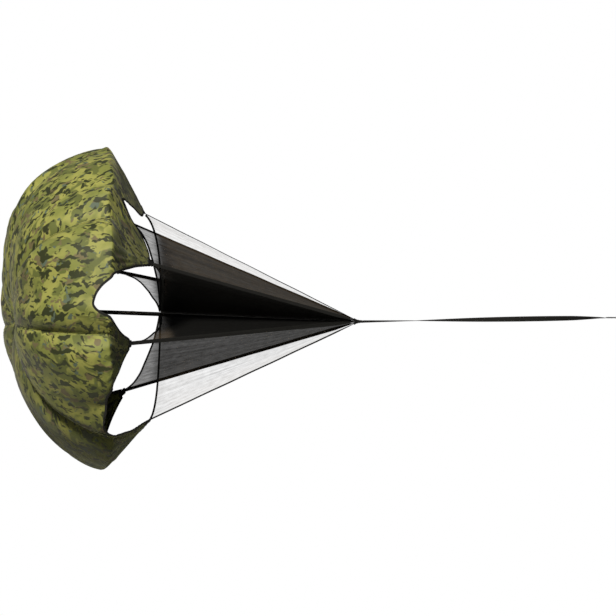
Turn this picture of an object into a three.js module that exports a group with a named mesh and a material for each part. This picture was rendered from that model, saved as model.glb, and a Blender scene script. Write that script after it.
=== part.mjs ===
// A resistance parachute for running, inflated and under tow: a canopy of eight gores, sheer mesh
// panels between its eight lines, and a twisted tow strap that ends in a sewn loop.
// Units are millimetres. +X is the way the runner pulls and +Z is up; the near side faces -Y.
// The origin is where the end loop bears on the ring that tows it.
// "back" is the distance behind the confluence of the lines, "out" the distance from the tow axis,
// and "turn" the angle round it in degrees, 0 on the near side and 90 at the top.

import * as THREE from "three";

const { lerp, smoothstep, degToRad } = THREE.MathUtils;

// Driving dimensions
const TOW_LENGTH = 860; // from the confluence to the loop's bearing point
const TOW_RISE = 12; // the loop is this much higher than the confluence
const DOME_BACK = 1094; // the deepest part of the canopy
const CROWN_DIMPLE = 24; // the seams draw the crown in by this much
const DIMPLE_SPREAD = 95;
const CLOTH = 1.2; // thickness of the canopy cloth
const MESH = 1.0; // thickness of the sheer mesh
const GAP = 0.3; // between pieces that are sewn together
const SEAM_GAP = 0.6; // between gores

// How square the dome's section is: fuller above than below
const SQUARENESS = 2.8;
const SQUARENESS_TILT = 1.2;
const RIM_FLARE = 0.97; // under 1 the dome still widens where it meets the rim

// The eight seams, from the top down the near side and back up the far side. Each runs from the crown
// over the rim and along a tongue to its tip, which a line pulls on. Folds gather the cloth at the tip.
const SEAMS = [
  { name: "top_near", tipTurn: 79.5, tipOut: 340, tipBack: 679, rimTurn: 84, rimOut: 505, rimBack: 790,
    folds: 1.1, foldDepth: 5 },
  { name: "high_near", tipTurn: 33, tipOut: 325, tipBack: 683, rimTurn: 40, rimOut: 490, rimBack: 832,
    folds: 1.4, foldDepth: 6 },
  { name: "low_near", tipTurn: -12, tipOut: 323, tipBack: 755, rimTurn: -5, rimOut: 458, rimBack: 845,
    folds: 1.2, foldDepth: 5.5 },
  { name: "bottom_near", tipTurn: -67, tipOut: 328, tipBack: 669, rimTurn: -55, rimOut: 432, rimBack: 805,
    folds: 1.4, foldDepth: 5.5 },
  { name: "bottom_far", tipTurn: -138, tipOut: 318, tipBack: 701, rimTurn: -129, rimOut: 436, rimBack: 800,
    folds: 1.2, foldDepth: 5 },
  { name: "low_far", tipTurn: -185.5, tipOut: 324, tipBack: 794, rimTurn: -176, rimOut: 462, rimBack: 852,
    folds: 1.3, foldDepth: 5 },
  { name: "high_far", tipTurn: -213, tipOut: 284, tipBack: 721, rimTurn: -211, rimOut: 484, rimBack: 812,
    folds: 1.2, foldDepth: 5 },
  { name: "top_far", tipTurn: -247, tipOut: 330, tipBack: 692, rimTurn: -244, rimOut: 500, rimBack: 792,
    folds: 1.1, foldDepth: 5 },
];
const TONGUE_TURN = 30; // how far past the rim the cloth runs forward before it turns in

// The gore after each seam. Between its two tongues the free edge is a scallop, a smooth curve through the
// places given: each is a share of the gore's width and how far down it lies (1 is the rim, 2 a tip). The
// gore swells past its seams.
const GORES = [
  { name: "near_high", swell: 30,
    scallop: [[0.39, 1.87], [0.53, 1.66], [0.66, 1.43], [0.735, 1.63], [0.755, 1.83], [0.86, 1.93]] },
  { name: "near_middle", swell: 40,
    scallop: [[0.15, 1.8], [0.3, 1.57], [0.45, 1.28], [0.56, 0.94], [0.7, 0.84], [0.81, 0.87], [0.87, 1.05],
      [0.9, 1.45], [0.93, 1.82]] },
  { name: "near_low", swell: 36,
    scallop: [[0.11, 1.72], [0.29, 1.3], [0.44, 0.95], [0.64, 0.885], [0.84, 0.88], [0.9, 1.02],
      [0.92, 1.4], [0.935, 1.82]] },
  { name: "bottom", swell: 26,
    scallop: [[0.12, 1.8], [0.3, 1.48], [0.47, 1.15], [0.6, 1.01], [0.7, 1.08], [0.8, 1.28], [0.9, 1.64]] },
  { name: "far_low", swell: 34,
    scallop: [[0.1, 1.8], [0.25, 1.48], [0.4, 1.15], [0.52, 0.95], [0.65, 1.06], [0.8, 1.46], [0.92, 1.8]] },
  { name: "far_middle", swell: 30,
    scallop: [[0.1, 1.76], [0.25, 1.36], [0.38, 1.04], [0.5, 0.9], [0.62, 1.04], [0.78, 1.44],
      [0.92, 1.83]] },
  { name: "far_high", swell: 28,
    scallop: [[0.1, 1.78], [0.25, 1.4], [0.38, 1.08], [0.5, 0.94], [0.62, 1.1], [0.78, 1.52], [0.92, 1.85]] },
  { name: "top", swell: 32,
    scallop: [[0.1, 1.8], [0.25, 1.46], [0.4, 1.13], [0.54, 1], [0.7, 0.98], [0.8, 1.06], [0.88, 1.35],
      [0.93, 1.7]] },
];
const EDGE_SAMPLES = 400; // along the curve of a scallop
const TONGUE_LEAST = 0.035; // share of a gore's width that reaches into the tab
const FOLD_ROOM = 0.3; // a tongue this broad shows its folds in full

// Long soft creases in the gores, from one place to another, each place as its share of the gore's width
// and how far down it lies
const CREASES = [
  { gore: "near_low", from: [0.3, 1.3], to: [0.72, 0.72], width: 42, depth: 11 },
  { gore: "near_high", from: [0.82, 0.5], to: [0.62, 1.06], width: 38, depth: 9 },
  { gore: "near_middle", from: [0.25, 0.2], to: [0.52, 0.42], width: 34, depth: 8 },
  { gore: "top", from: [0.35, 0.55], to: [0.7, 1.0], width: 40, depth: 8 },
  { gore: "bottom", from: [0.3, 1.25], to: [0.5, 0.6], width: 44, depth: 10 },
  { gore: "far_low", from: [0.7, 1.15], to: [0.4, 0.55], width: 42, depth: 9 },
  { gore: "far_high", from: [0.3, 0.5], to: [0.62, 1.0], width: 38, depth: 8 },
];

// Grid of each gore
const COLUMNS = 16;
const ROWS = 13;
const COLUMN_LEAN = 0.6; // 1 would start each column at the share of the width where it ends
const BOUND_COLUMN = 2; // the binding runs between this column and its twin
const CROWN_HOLE = 6; // the seams meet round this radius

// Tabs at the tips and binding on the scallops
const TAB_LENGTH = 27;
const TAB_WIDTH = 24;
const TAB_THICKNESS = 4.6;
const TAB_SLOT = 2.8;
const TAB_HOLD = 10; // length of the cloth inside the tab
const BINDING_WIDTH = 6;
const BINDING_THICKNESS = 2.2;
const BINDING_GAP = 1.6; // from the cloth, whose edge twists over the rim
const BINDING_START = 18; // along the scallop from the end of the cloth
const EVENING_PASSES = 3;

// Lines of flat webbing
const LINE_WIDTH = 12.5;
const LINE_THICKNESS = 1.2;
const LINE_START = 2; // clear of the tab
const LINE_END = 18; // from the confluence, where the lines enter the cuff
const LINE_CROWDING = 0.155; // near the confluence a line bunches to this share of its distance from it

// Mesh panels: all eight meet along the seam from the confluence back to the heart of the mesh
const HEART_BACK = 620;
const HEART_RISE = 27;
const PANEL_SEAM = 4; // half the room that the seam takes
const PANEL_TIP = 14; // degrees of the edge's arc left out at the tip, where the panel is a sliver
const PANEL_NOSE = 24; // from the confluence to the panel's nose
const PANEL_COLUMNS = 8;
const PANEL_ROWS = 6;
const RIPPLE = 4; // the mesh's radial ripples
const EDGE_TAPE_WIDTH = 5;
const EDGE_TAPE_THICKNESS = 2.2;
const EDGE_TAPE_END = 7; // from the seam of the mesh

// Cuff that binds the lines to the tow strap
const CUFF_PROFILE = [[15, 10.6], [8, 7], [-4, 4.6], [-12, 4.2]]; // back, radius
const CUFF_SIDES = 16;

// Tow strap and its end loop
const STRAP_WIDTH = 16;
const STRAP_THICKNESS = 1.6;
const STRAP_STEPS = 48;
// Share of the strap's length, and how far its width has turned from level
const TWIST = [[0, -24], [0.22, 0], [0.46, 48], [0.7, 92], [0.86, 122], [1, 180]];
const LOOP_INNER = 7; // radius of the loop's bend
const LOOP_GAP = 58; // from the bend's inside to the throat
const LOOP_TAIL = 26; // doubled and sewn

const CLOTH_COLOUR = 0x7e8442;
const BLACK_WEBBING = 0x121212;
const BLACK_MESH = 0x2a2724;
const cloth = () => new THREE.MeshStandardMaterial({ color: CLOTH_COLOUR, roughness: 0.5, metalness: 0 });
const webbing = () => new THREE.MeshStandardMaterial({ color: BLACK_WEBBING, roughness: 0.8, metalness: 0 });
const mesh = () =>
  new THREE.MeshStandardMaterial({ color: BLACK_MESH, roughness: 0.9, transparent: true, opacity: 0.6 });

const confluence = new THREE.Vector3(-TOW_LENGTH, 0, -TOW_RISE);

// A place by its distance behind the confluence, its distance from the tow axis and its turn
function place(back, out, turn) {
  const a = degToRad(turn);
  return new THREE.Vector3(-back, -out * Math.cos(a), out * Math.sin(a)).add(confluence);
}

// The direction in which turn grows
function roundAt(turn) {
  const a = degToRad(turn);
  return new THREE.Vector3(0, Math.sin(a), Math.cos(a));
}

// A closed sheet from a grid of middle points, with the way its outer face looks at each of them. The
// cross product of the first grid direction and the second points out.
function sheetSolid(points, normals, thickness) {
  const columns = points.length;
  const rows = points[0].length;
  const corners = [];
  for (const side of [0.5, -0.5]) {
    for (let i = 0; i < columns; i++) {
      for (let j = 0; j < rows; j++) {
        const p = points[i][j].clone().addScaledVector(normals[i][j], side * thickness);
        corners.push(p.x, p.y, p.z);
      }
    }
  }
  const inner = columns * rows;
  const at = (i, j) => i * rows + j;
  const faces = [];
  for (let i = 0; i + 1 < columns; i++) {
    for (let j = 0; j + 1 < rows; j++) {
      let [a, b, c, d] = [at(i, j), at(i + 1, j), at(i + 1, j + 1), at(i, j + 1)];
      const diagonal = points[i][j].distanceTo(points[i + 1][j + 1]);
      const otherDiagonal = points[i + 1][j].distanceTo(points[i][j + 1]);
      if (otherDiagonal <= diagonal) [a, b, c, d] = [b, c, d, a];
      faces.push(a, b, c, a, c, d);
      faces.push(inner + a, inner + c, inner + b, inner + a, inner + d, inner + c);
    }
  }
  const rim = [];
  for (let i = 0; i < columns - 1; i++) rim.push(at(i, 0));
  for (let j = 0; j < rows - 1; j++) rim.push(at(columns - 1, j));
  for (let i = columns - 1; i > 0; i--) rim.push(at(i, rows - 1));
  for (let j = rows - 1; j > 0; j--) rim.push(at(0, j));
  rim.forEach((p, n) => {
    const q = rim[(n + 1) % rim.length];
    faces.push(q, p, inner + p, q, inner + p, inner + q);
  });
  const geometry = new THREE.BufferGeometry();
  geometry.setAttribute("position", new THREE.Float32BufferAttribute(corners, 3));
  geometry.setIndex(faces);
  geometry.computeVertexNormals();
  return geometry;
}

// A seam's profile: over the dome for down from 0 to 1, then along the tongue to its tip at 2
function profile(seam, down) {
  const turn = lerp(seam.rimTurn, seam.tipTurn, smoothstep(down, 1, 2));
  if (down <= 1) {
    const share = Math.sin((down * Math.PI) / 2);
    const power = SQUARENESS + SQUARENESS_TILT * Math.sin(degToRad(turn));
    const rise = (s) => 1 - Math.sqrt(1 - (RIM_FLARE * s) ** power);
    return { turn, out: seam.rimOut * share, back: lerp(DOME_BACK, seam.rimBack, rise(share) / rise(1)) };
  }
  const tongue = new THREE.QuadraticBezierCurve(
    new THREE.Vector2(seam.rimBack, seam.rimOut),
    new THREE.Vector2(seam.rimBack - TONGUE_TURN, seam.rimOut),
    new THREE.Vector2(seam.tipBack, seam.tipOut),
  );
  const p = tongue.getPoint(down - 1);
  return { turn, out: p.y, back: p.x };
}

// How far down a seam the cloth ends, inside its tab
function clothEnd(seam) {
  const tip = profile(seam, 2);
  const hold = TAB_LENGTH - TAB_HOLD;
  let down = 2;
  while (Math.hypot(profile(seam, down).back - tip.back, profile(seam, down).out - tip.out) < hold) {
    down -= 1e-3;
  }
  return down;
}
const CLOTH_ENDS = SEAMS.map(clothEnd);

// The free edge of each gore, from the end of one tongue to the end of the next: x is the share across and y
// how far down
const SCALLOPS = GORES.map((gore, g) => {
  const first = new THREE.Vector2(TONGUE_LEAST, CLOTH_ENDS[g]);
  const last = new THREE.Vector2(1 - TONGUE_LEAST, CLOTH_ENDS[(g + 1) % SEAMS.length]);
  const between = gore.scallop.map(([across, down]) => new THREE.Vector2(across, down));
  return new THREE.SplineCurve([first, ...between, last]).getPoints(EDGE_SAMPLES);
});

// The share of a gore's width that is left at its first or its second tongue
function tongueShare(g, isFirst, down) {
  const curve = isFirst ? SCALLOPS[g] : SCALLOPS[g].toReversed();
  const share = (p) => (isFirst ? p.x : 1 - p.x);
  const deepest = curve.reduce((best, p) => (p.y < best.y ? p : best));
  if (down <= deepest.y) return share(deepest);
  const n = curve.findIndex((p) => p.y <= down);
  if (n === 0) return share(curve[0]);
  return lerp(share(curve[n]), share(curve[n - 1]), (down - curve[n].y) / (curve[n - 1].y - curve[n].y));
}

// Height of the folds that gather a tongue, from its seam out to its edge
function gather(seam, g, isFirst, fromSeam, down) {
  const fade = smoothstep(down, 0.55, 1.05) * (1 - smoothstep(down, 1, 1.9));
  const half = tongueShare(g, isFirst, down);
  const middle = (1 - smoothstep(fromSeam, 0.2, 0.5)) * smoothstep(half, 0, FOLD_ROOM);
  const wave = 2 * Math.PI * seam.folds * (fromSeam / Math.max(half, 1e-2));
  return seam.foldDepth * fade * middle * Math.cos(wave);
}

// Depth of the creases of a gore
function creased(gore, across, down, width, length) {
  let depth = 0;
  for (const crease of CREASES) {
    if (crease.gore !== gore.name) continue;
    const from = new THREE.Vector2(crease.from[0] * width, crease.from[1] * length);
    const to = new THREE.Vector2(crease.to[0] * width, crease.to[1] * length);
    const at = new THREE.Vector2(across * width, down * length);
    const along = to.clone().sub(from);
    const share = at.clone().sub(from).dot(along) / along.lengthSq();
    const nearest = from.clone().addScaledVector(along, Math.min(1, Math.max(0, share)));
    depth += crease.depth * Math.exp(-((at.distanceTo(nearest) / crease.width) ** 2));
  }
  return depth;
}

// The canopy's surface
function canopyPoint(g, across, down) {
  const gore = GORES[g];
  const first = profile(SEAMS[g], down);
  const second = profile(SEAMS[(g + 1) % SEAMS.length], down);
  const secondTurn = second.turn - (g + 1 === SEAMS.length ? 360 : 0);
  const turn = lerp(first.turn, secondTurn, across);
  const ease = smoothstep(across, 0, 1);
  let out = lerp(first.out, second.out, ease);
  let back = lerp(first.back, second.back, ease);
  const dome = Math.min(down, 1) * (Math.PI / 2);
  const width = out * degToRad(first.turn - secondTurn);
  let lift = gore.swell * 4 * across * (1 - across);
  lift *= Math.sin(dome) * (1 - smoothstep(down, 1, 1.9));
  lift += gather(SEAMS[g], g, true, across, down);
  lift += gather(SEAMS[(g + 1) % SEAMS.length], g, false, 1 - across, down);
  const edge = 4 * across * (1 - across);
  lift -= creased(gore, across, down, width, SEAMS[g].rimOut) * edge;
  back -= CROWN_DIMPLE * Math.exp(-((out / DIMPLE_SPREAD) ** 2));
  back += lift * Math.cos(dome);
  out += lift * Math.sin(dome);
  return place(back, out, turn);
}

function canopyNormal(g, across, down) {
  const step = 1e-3;
  const side = across > 0.5 ? -step : step;
  const here = canopyPoint(g, across, down);
  const sideways = canopyPoint(g, across + side, down).sub(here).multiplyScalar(Math.sign(side));
  const onward = canopyPoint(g, across, down + step).sub(canopyPoint(g, across, down - step));
  return sideways.cross(onward).normalize();
}

// At a seam both gores look the same way, so that they stay a gap apart through their thickness
function seamNormal(g, across, down, turn) {
  const normal = canopyNormal(g, across, down);
  const round = roundAt(turn);
  return normal.addScaledVector(round, -normal.dot(round)).normalize();
}

// The gore's free edge: the blunt end of one tongue, the scallop, and the end of the next tongue, as
// places of share across and down
function goreEdge(g) {
  const curve = SCALLOPS[g];
  const points = curve.map(({ x, y }) => canopyPoint(g, x, y));
  const lengths = [0];
  points.slice(1).forEach((p, n) => lengths.push(lengths[n] + p.distanceTo(points[n])));
  const whole = lengths[EDGE_SAMPLES];
  const placeAt = (length) => {
    const n = Math.max(1, lengths.findIndex((l) => l >= length));
    return curve[n - 1].clone().lerp(curve[n], (length - lengths[n - 1]) / (lengths[n] - lengths[n - 1]));
  };
  const bound = COLUMNS - 2 * BOUND_COLUMN;
  const edge = [[0, curve[0].y], [curve[0].x, curve[0].y]];
  for (let n = 0; n <= bound; n++) {
    const { x, y } = placeAt(lerp(BINDING_START, whole - BINDING_START, n / bound));
    edge.push([x, y]);
  }
  const last = curve[EDGE_SAMPLES];
  edge.push([last.x, last.y], [1, last.y]);
  return edge;
}

// Keeps half a gap between the gore and its seams
function clearOfSeams(g, across, down) {
  const first = profile(SEAMS[g], down);
  const second = profile(SEAMS[(g + 1) % SEAMS.length], down);
  const secondTurn = second.turn - (g + 1 === SEAMS.length ? 360 : 0);
  const width = lerp(first.out, second.out, across) * degToRad(first.turn - secondTurn);
  const half = SEAM_GAP / 2 / width;
  return Math.min(1 - half, Math.max(half, across));
}

// The gore's grid of places, from the crown to its free edge
function goreGrid(g) {
  return goreEdge(g).map(([edgeAcross, edgeDown], i) => {
    const seamOut = lerp(SEAMS[g].rimOut, SEAMS[(g + 1) % SEAMS.length].rimOut, i / COLUMNS);
    const start = (Math.asin(CROWN_HOLE / seamOut) * 2) / Math.PI;
    return Array.from({ length: ROWS + 1 }, (_, j) => {
      const s = j / ROWS;
      const down = lerp(start, edgeDown, s);
      const crownAcross = lerp(i / COLUMNS, edgeAcross, COLUMN_LEAN);
      return [clearOfSeams(g, lerp(crownAcross, edgeAcross, s), down), down];
    });
  });
}

// The bound part of the free edge: its points, the way its cloth faces there and the way out of it. The
// cloth's own facing is evened out along the edge, because a tape twists less sharply than cloth folds.
function boundEdge(g) {
  const ends = goreGrid(g).slice(BOUND_COLUMN, -BOUND_COLUMN).map((column) => column[ROWS]);
  const edge = ends.map(([across, down]) => canopyPoint(g, across, down));
  const beside = (list, n) => [list[Math.max(n - 1, 0)], list[Math.min(n + 1, list.length - 1)]];
  let faces = ends.map(([across, down]) => canopyNormal(g, across, down));
  for (let pass = 0; pass < EVENING_PASSES; pass++) {
    faces = faces.map((face, n) => {
      const [before, after] = beside(faces, n);
      return face.clone().multiplyScalar(2).add(before).add(after).normalize();
    });
  }
  const outward = faces.map((face, n) => {
    const [before, after] = beside(edge, n);
    const along = after.clone().sub(before).normalize();
    face.addScaledVector(along, -face.dot(along)).normalize();
    return face.clone().cross(along).normalize();
  });
  return { edge, faces, outward };
}

function gorePanel(g) {
  const grid = goreGrid(g);
  const points = grid.map((column) => column.map(([across, down]) => canopyPoint(g, across, down)));
  const normals = grid.map((column, i) =>
    column.map(([across, down]) => {
      if (i > 0 && i < COLUMNS) return canopyNormal(g, across, down);
      const seam = SEAMS[(g + i / COLUMNS) % SEAMS.length];
      return seamNormal(g, across, down, profile(seam, down).turn);
    }),
  );
  boundEdge(g).faces.forEach((face, n) => {
    normals[n + BOUND_COLUMN][ROWS] = face;
  });
  return sheetSolid(points, normals, CLOTH);
}

// Tape along the scallop, just past the cloth's edge and level with the cloth there
function bindingTape(g) {
  const { edge, faces, outward } = boundEdge(g);
  const shifted = (by) => edge.map((p, n) => p.clone().addScaledVector(outward[n], by));
  const grid = [shifted(BINDING_GAP), shifted(BINDING_GAP + BINDING_WIDTH)];
  return sheetSolid(flipped(grid), flipped([faces, faces]), BINDING_THICKNESS);
}

// Swaps a grid's columns and rows
function flipped(grid) {
  return grid[0].map((_, j) => grid.map((column) => column[j]));
}

// The end of a tongue: where its tab starts and ends, the way the tab points and the way it faces
function tongueEnd(seam, g) {
  const down = CLOTH_ENDS[g];
  const { turn } = profile(seam, down);
  const cloth = canopyPoint(g, 0, down);
  const way = cloth.clone().sub(canopyPoint(g, 0, down * (1 - 1 / ROWS)));
  const round = roundAt(turn);
  way.addScaledVector(round, -way.dot(round)).normalize();
  const face = round.clone().cross(way).normalize();
  const end = cloth.clone().addScaledVector(way, TAB_LENGTH - TAB_HOLD);
  return { cloth, way, face, round, end };
}

// A folded tab that holds the end of the tongue in its slot
function tipTab(end) {
  const half = TAB_THICKNESS / 2;
  const slot = TAB_SLOT / 2;
  const shape = new THREE.Shape();
  shape.moveTo(-TAB_HOLD, -half);
  shape.lineTo(TAB_LENGTH - TAB_HOLD, -half);
  shape.lineTo(TAB_LENGTH - TAB_HOLD, half);
  shape.lineTo(-TAB_HOLD, half);
  shape.lineTo(-TAB_HOLD, slot);
  shape.lineTo(GAP, slot);
  shape.lineTo(GAP, -slot);
  shape.lineTo(-TAB_HOLD, -slot);
  const geometry = new THREE.ExtrudeGeometry(shape, { depth: TAB_WIDTH, bevelEnabled: false });
  geometry.translate(0, 0, -TAB_WIDTH / 2);
  const across = end.way.clone().cross(end.face);
  const basis = new THREE.Matrix4().makeBasis(end.way, end.face, across);
  return { geometry, position: end.cloth, quaternion: new THREE.Quaternion().setFromRotationMatrix(basis) };
}

// A line of webbing from its tab to the cuff, its width lying round the tow axis
function lineStrip(end) {
  const toTip = end.end.clone().sub(confluence);
  const whole = toTip.length();
  const way = toTip.clone().normalize();
  const face = end.round.clone().cross(way).normalize();
  const crowded = LINE_WIDTH / LINE_CROWDING;
  const nearCuff = (crowded + LINE_END) / 2;
  const distances = [whole - LINE_START, 0.66 * whole, 0.33 * whole, crowded, nearCuff, LINE_END];
  const columns = [-0.5, 0.5].map((side) =>
    distances.map((distance) => {
      const width = Math.min(LINE_WIDTH, LINE_CROWDING * distance);
      return confluence.clone().addScaledVector(way, distance).addScaledVector(end.round, side * width);
    }),
  );
  const faces = distances.map(() => face);
  return sheetSolid(flipped(columns), flipped([faces, faces]), LINE_THICKNESS);
}

// One mesh panel in the plane of its line and the mesh's seam: a fan of rays from the confluence whose
// far ends lie on an arc from the tip to the heart. The arc leaves the tip along the line.
function panelFan(end) {
  const line = end.end.clone().sub(confluence);
  const heart = new THREE.Vector3(-HEART_BACK, 0, HEART_RISE);
  const seamWay = heart.clone().normalize();
  const outward = line.clone().addScaledVector(seamWay, -line.dot(seamWay)).normalize();
  const inward = outward.clone().addScaledVector(line, -outward.dot(line) / line.lengthSq()).normalize();
  const past = 1 - heart.length() / line.dot(seamWay);
  const face = outward.clone().cross(seamWay).normalize();
  const lineLift = LINE_THICKNESS / 2 + GAP;
  return {
    face,
    seamWay,
    point(angle, reach, ripple) {
      const a = degToRad(angle);
      const toHeart = 1 - Math.cos(a);
      const toTip = past + (1 - past) * Math.cos(a) - past * Math.sin(a);
      const bySeam = panelShare(angle);
      const p = heart.clone().multiplyScalar(toHeart).addScaledVector(line, toTip).multiplyScalar(reach);
      p.addScaledVector(outward, PANEL_SEAM * bySeam).addScaledVector(inward, -lineLift * (1 - bySeam));
      return p.addScaledVector(face, ripple).add(confluence);
    },
  };
}

// Where a ray lies between the line and the seam of the mesh
const panelShare = (angle) => (angle - PANEL_TIP) / (90 - PANEL_TIP);

function panelAngles(count) {
  return Array.from({ length: count + 1 }, (_, n) => lerp(PANEL_TIP, 90, n / count));
}

// Ripples run along the rays and die out at the line, the seam and the nose
function rippleAt(angle, reach, phase) {
  const share = panelShare(angle);
  return RIPPLE * reach * Math.sin(Math.PI * share) * Math.sin(2.6 * Math.PI * share + phase);
}

function meshPanel(end, phase) {
  const fan = panelFan(end);
  const nose = PANEL_NOSE / HEART_BACK;
  const grid = panelAngles(PANEL_COLUMNS).map((angle) =>
    Array.from({ length: PANEL_ROWS + 1 }, (_, j) => {
      const reach = lerp(nose, 1, j / PANEL_ROWS);
      return fan.point(angle, reach, rippleAt(angle, reach, phase));
    }),
  );
  const faces = grid.map((column) => column.map(() => fan.face));
  return sheetSolid(flipped(grid), flipped(faces), MESH);
}

// Tape along the panel's arc, stopping short of the seam where all eight meet
function edgeTape(end, phase) {
  const fan = panelFan(end);
  const angles = panelAngles(PANEL_COLUMNS);
  const arc = angles.map((angle) => fan.point(angle, 1, rippleAt(angle, 1, phase)));
  const last = arc.length - 1;
  const short = (EDGE_TAPE_END - PANEL_SEAM) / arc[last].distanceTo(arc[last - 1]);
  arc[last].lerp(arc[last - 1], short);
  const outward = arc.map((p, n) => {
    const along = arc[Math.min(n + 1, last)].clone().sub(arc[Math.max(n - 1, 0)]);
    return along.cross(fan.face).normalize();
  });
  const shifted = (by) => arc.map((p, n) => p.clone().addScaledVector(outward[n], by));
  const faces = arc.map(() => fan.face);
  const grid = [shifted(GAP), shifted(GAP + EDGE_TAPE_WIDTH)];
  return sheetSolid(grid, [faces, faces], EDGE_TAPE_THICKNESS);
}

// The cuff is turned about the tow axis
function lineCuff() {
  const profilePoints = CUFF_PROFILE.map(([back, radius]) => new THREE.Vector2(radius, -back));
  const first = profilePoints[0];
  const last = profilePoints[profilePoints.length - 1];
  const closed = [new THREE.Vector2(0, first.y), ...profilePoints, new THREE.Vector2(0, last.y)];
  return new THREE.LatheGeometry(closed, CUFF_SIDES);
}

// How far the strap's width has turned at a share of its length
function twistAt(share) {
  const n = Math.max(1, TWIST.findIndex(([s]) => s >= share));
  const [[s0, a0], [s1, a1]] = [TWIST[n - 1], TWIST[n]];
  return degToRad(lerp(a0, a1, (share - s0) / (s1 - s0)));
}

function towStrap() {
  const cuffEnd = -CUFF_PROFILE[CUFF_PROFILE.length - 1][0];
  const start = new THREE.Vector3(-TOW_LENGTH + cuffEnd + GAP, 0, -TOW_RISE);
  const end = new THREE.Vector3(-LOOP_GAP - LOOP_TAIL - GAP, 0, 0);
  const grid = [[], []];
  const faces = [];
  for (let n = 0; n <= STRAP_STEPS; n++) {
    const share = n / STRAP_STEPS;
    const middle = start.clone().lerp(end, share);
    const a = twistAt(share);
    const across = new THREE.Vector3(0, Math.cos(a), Math.sin(a));
    faces.push(new THREE.Vector3(0, -Math.sin(a), Math.cos(a)));
    grid[0].push(middle.clone().addScaledVector(across, -STRAP_WIDTH / 2));
    grid[1].push(middle.clone().addScaledVector(across, STRAP_WIDTH / 2));
  }
  return sheetSolid(flipped(grid), flipped([faces, faces]), STRAP_THICKNESS);
}

// The strap's end folded back on itself and sewn, seen from the side as a teardrop with a tail
function endLoop() {
  const outer = LOOP_INNER + STRAP_THICKNESS;
  const throat = STRAP_THICKNESS + GAP / 2;
  const centre = -LOOP_INNER;
  const reach = LOOP_GAP - LOOP_INNER;
  const lean = (radius) => Math.asin(radius / reach);
  const shape = new THREE.Shape();
  shape.moveTo(-LOOP_GAP - LOOP_TAIL, -throat);
  shape.lineTo(-LOOP_GAP, -throat);
  shape.absarc(centre, 0, outer, -Math.PI / 2 - lean(outer - throat), Math.PI / 2 + lean(outer - throat));
  shape.lineTo(-LOOP_GAP, throat);
  shape.lineTo(-LOOP_GAP - LOOP_TAIL, throat);
  const hole = new THREE.Path();
  hole.moveTo(-LOOP_GAP, 0);
  hole.absarc(centre, 0, LOOP_INNER, -Math.PI / 2 - lean(LOOP_INNER), Math.PI / 2 + lean(LOOP_INNER));
  shape.holes.push(hole);
  const options = { depth: STRAP_WIDTH, bevelEnabled: false, curveSegments: 14 };
  const geometry = new THREE.ExtrudeGeometry(shape, options);
  geometry.translate(0, 0, -STRAP_WIDTH / 2);
  return geometry;
}

const parachute = new THREE.Group();

function addPiece(name, geometry, material) {
  const piece = new THREE.Mesh(geometry, material);
  piece.name = name;
  parachute.add(piece);
  return piece;
}

SEAMS.forEach((seam, g) => {
  const gore = GORES[g];
  const end = tongueEnd(seam, g);
  const tab = tipTab(end);
  addPiece(`gore_${gore.name}`, gorePanel(g), cloth());
  addPiece(`binding_${gore.name}`, bindingTape(g), webbing());
  const tabPiece = addPiece(`tab_${seam.name}`, tab.geometry, webbing());
  tabPiece.position.copy(tab.position);
  tabPiece.quaternion.copy(tab.quaternion);
  addPiece(`line_${seam.name}`, lineStrip(end), webbing());
  addPiece(`mesh_${seam.name}`, meshPanel(end, g), mesh());
  addPiece(`mesh_edge_${seam.name}`, edgeTape(end, g), webbing());
});

const cuff = addPiece("line_cuff", lineCuff(), webbing());
cuff.position.copy(confluence);
cuff.rotation.z = -Math.PI / 2;
addPiece("tow_strap", towStrap(), webbing());
const loop = addPiece("end_loop", endLoop(), webbing());
loop.rotation.x = Math.PI / 2;

export default parachute;
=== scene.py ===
# %% [markdown]
# # A resistance parachute under tow
#
# A runner drags this small parachute to train against its pull. Eight gores of thin printed nylon make the
# canopy, eight flat webbing lines hold it, and sheer mesh fills the planes between the lines and the tow
# axis. Everything meets at a cuff, and one flat strap runs from there to the runner's belt. This notebook
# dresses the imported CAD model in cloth, tape and mesh. The CAD model is loaded first, as a fixed frame that
# each new piece is laid on.

# %% Load the frame
import math

import bpy
import numpy as np
from mathutils import Matrix, Vector


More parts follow.
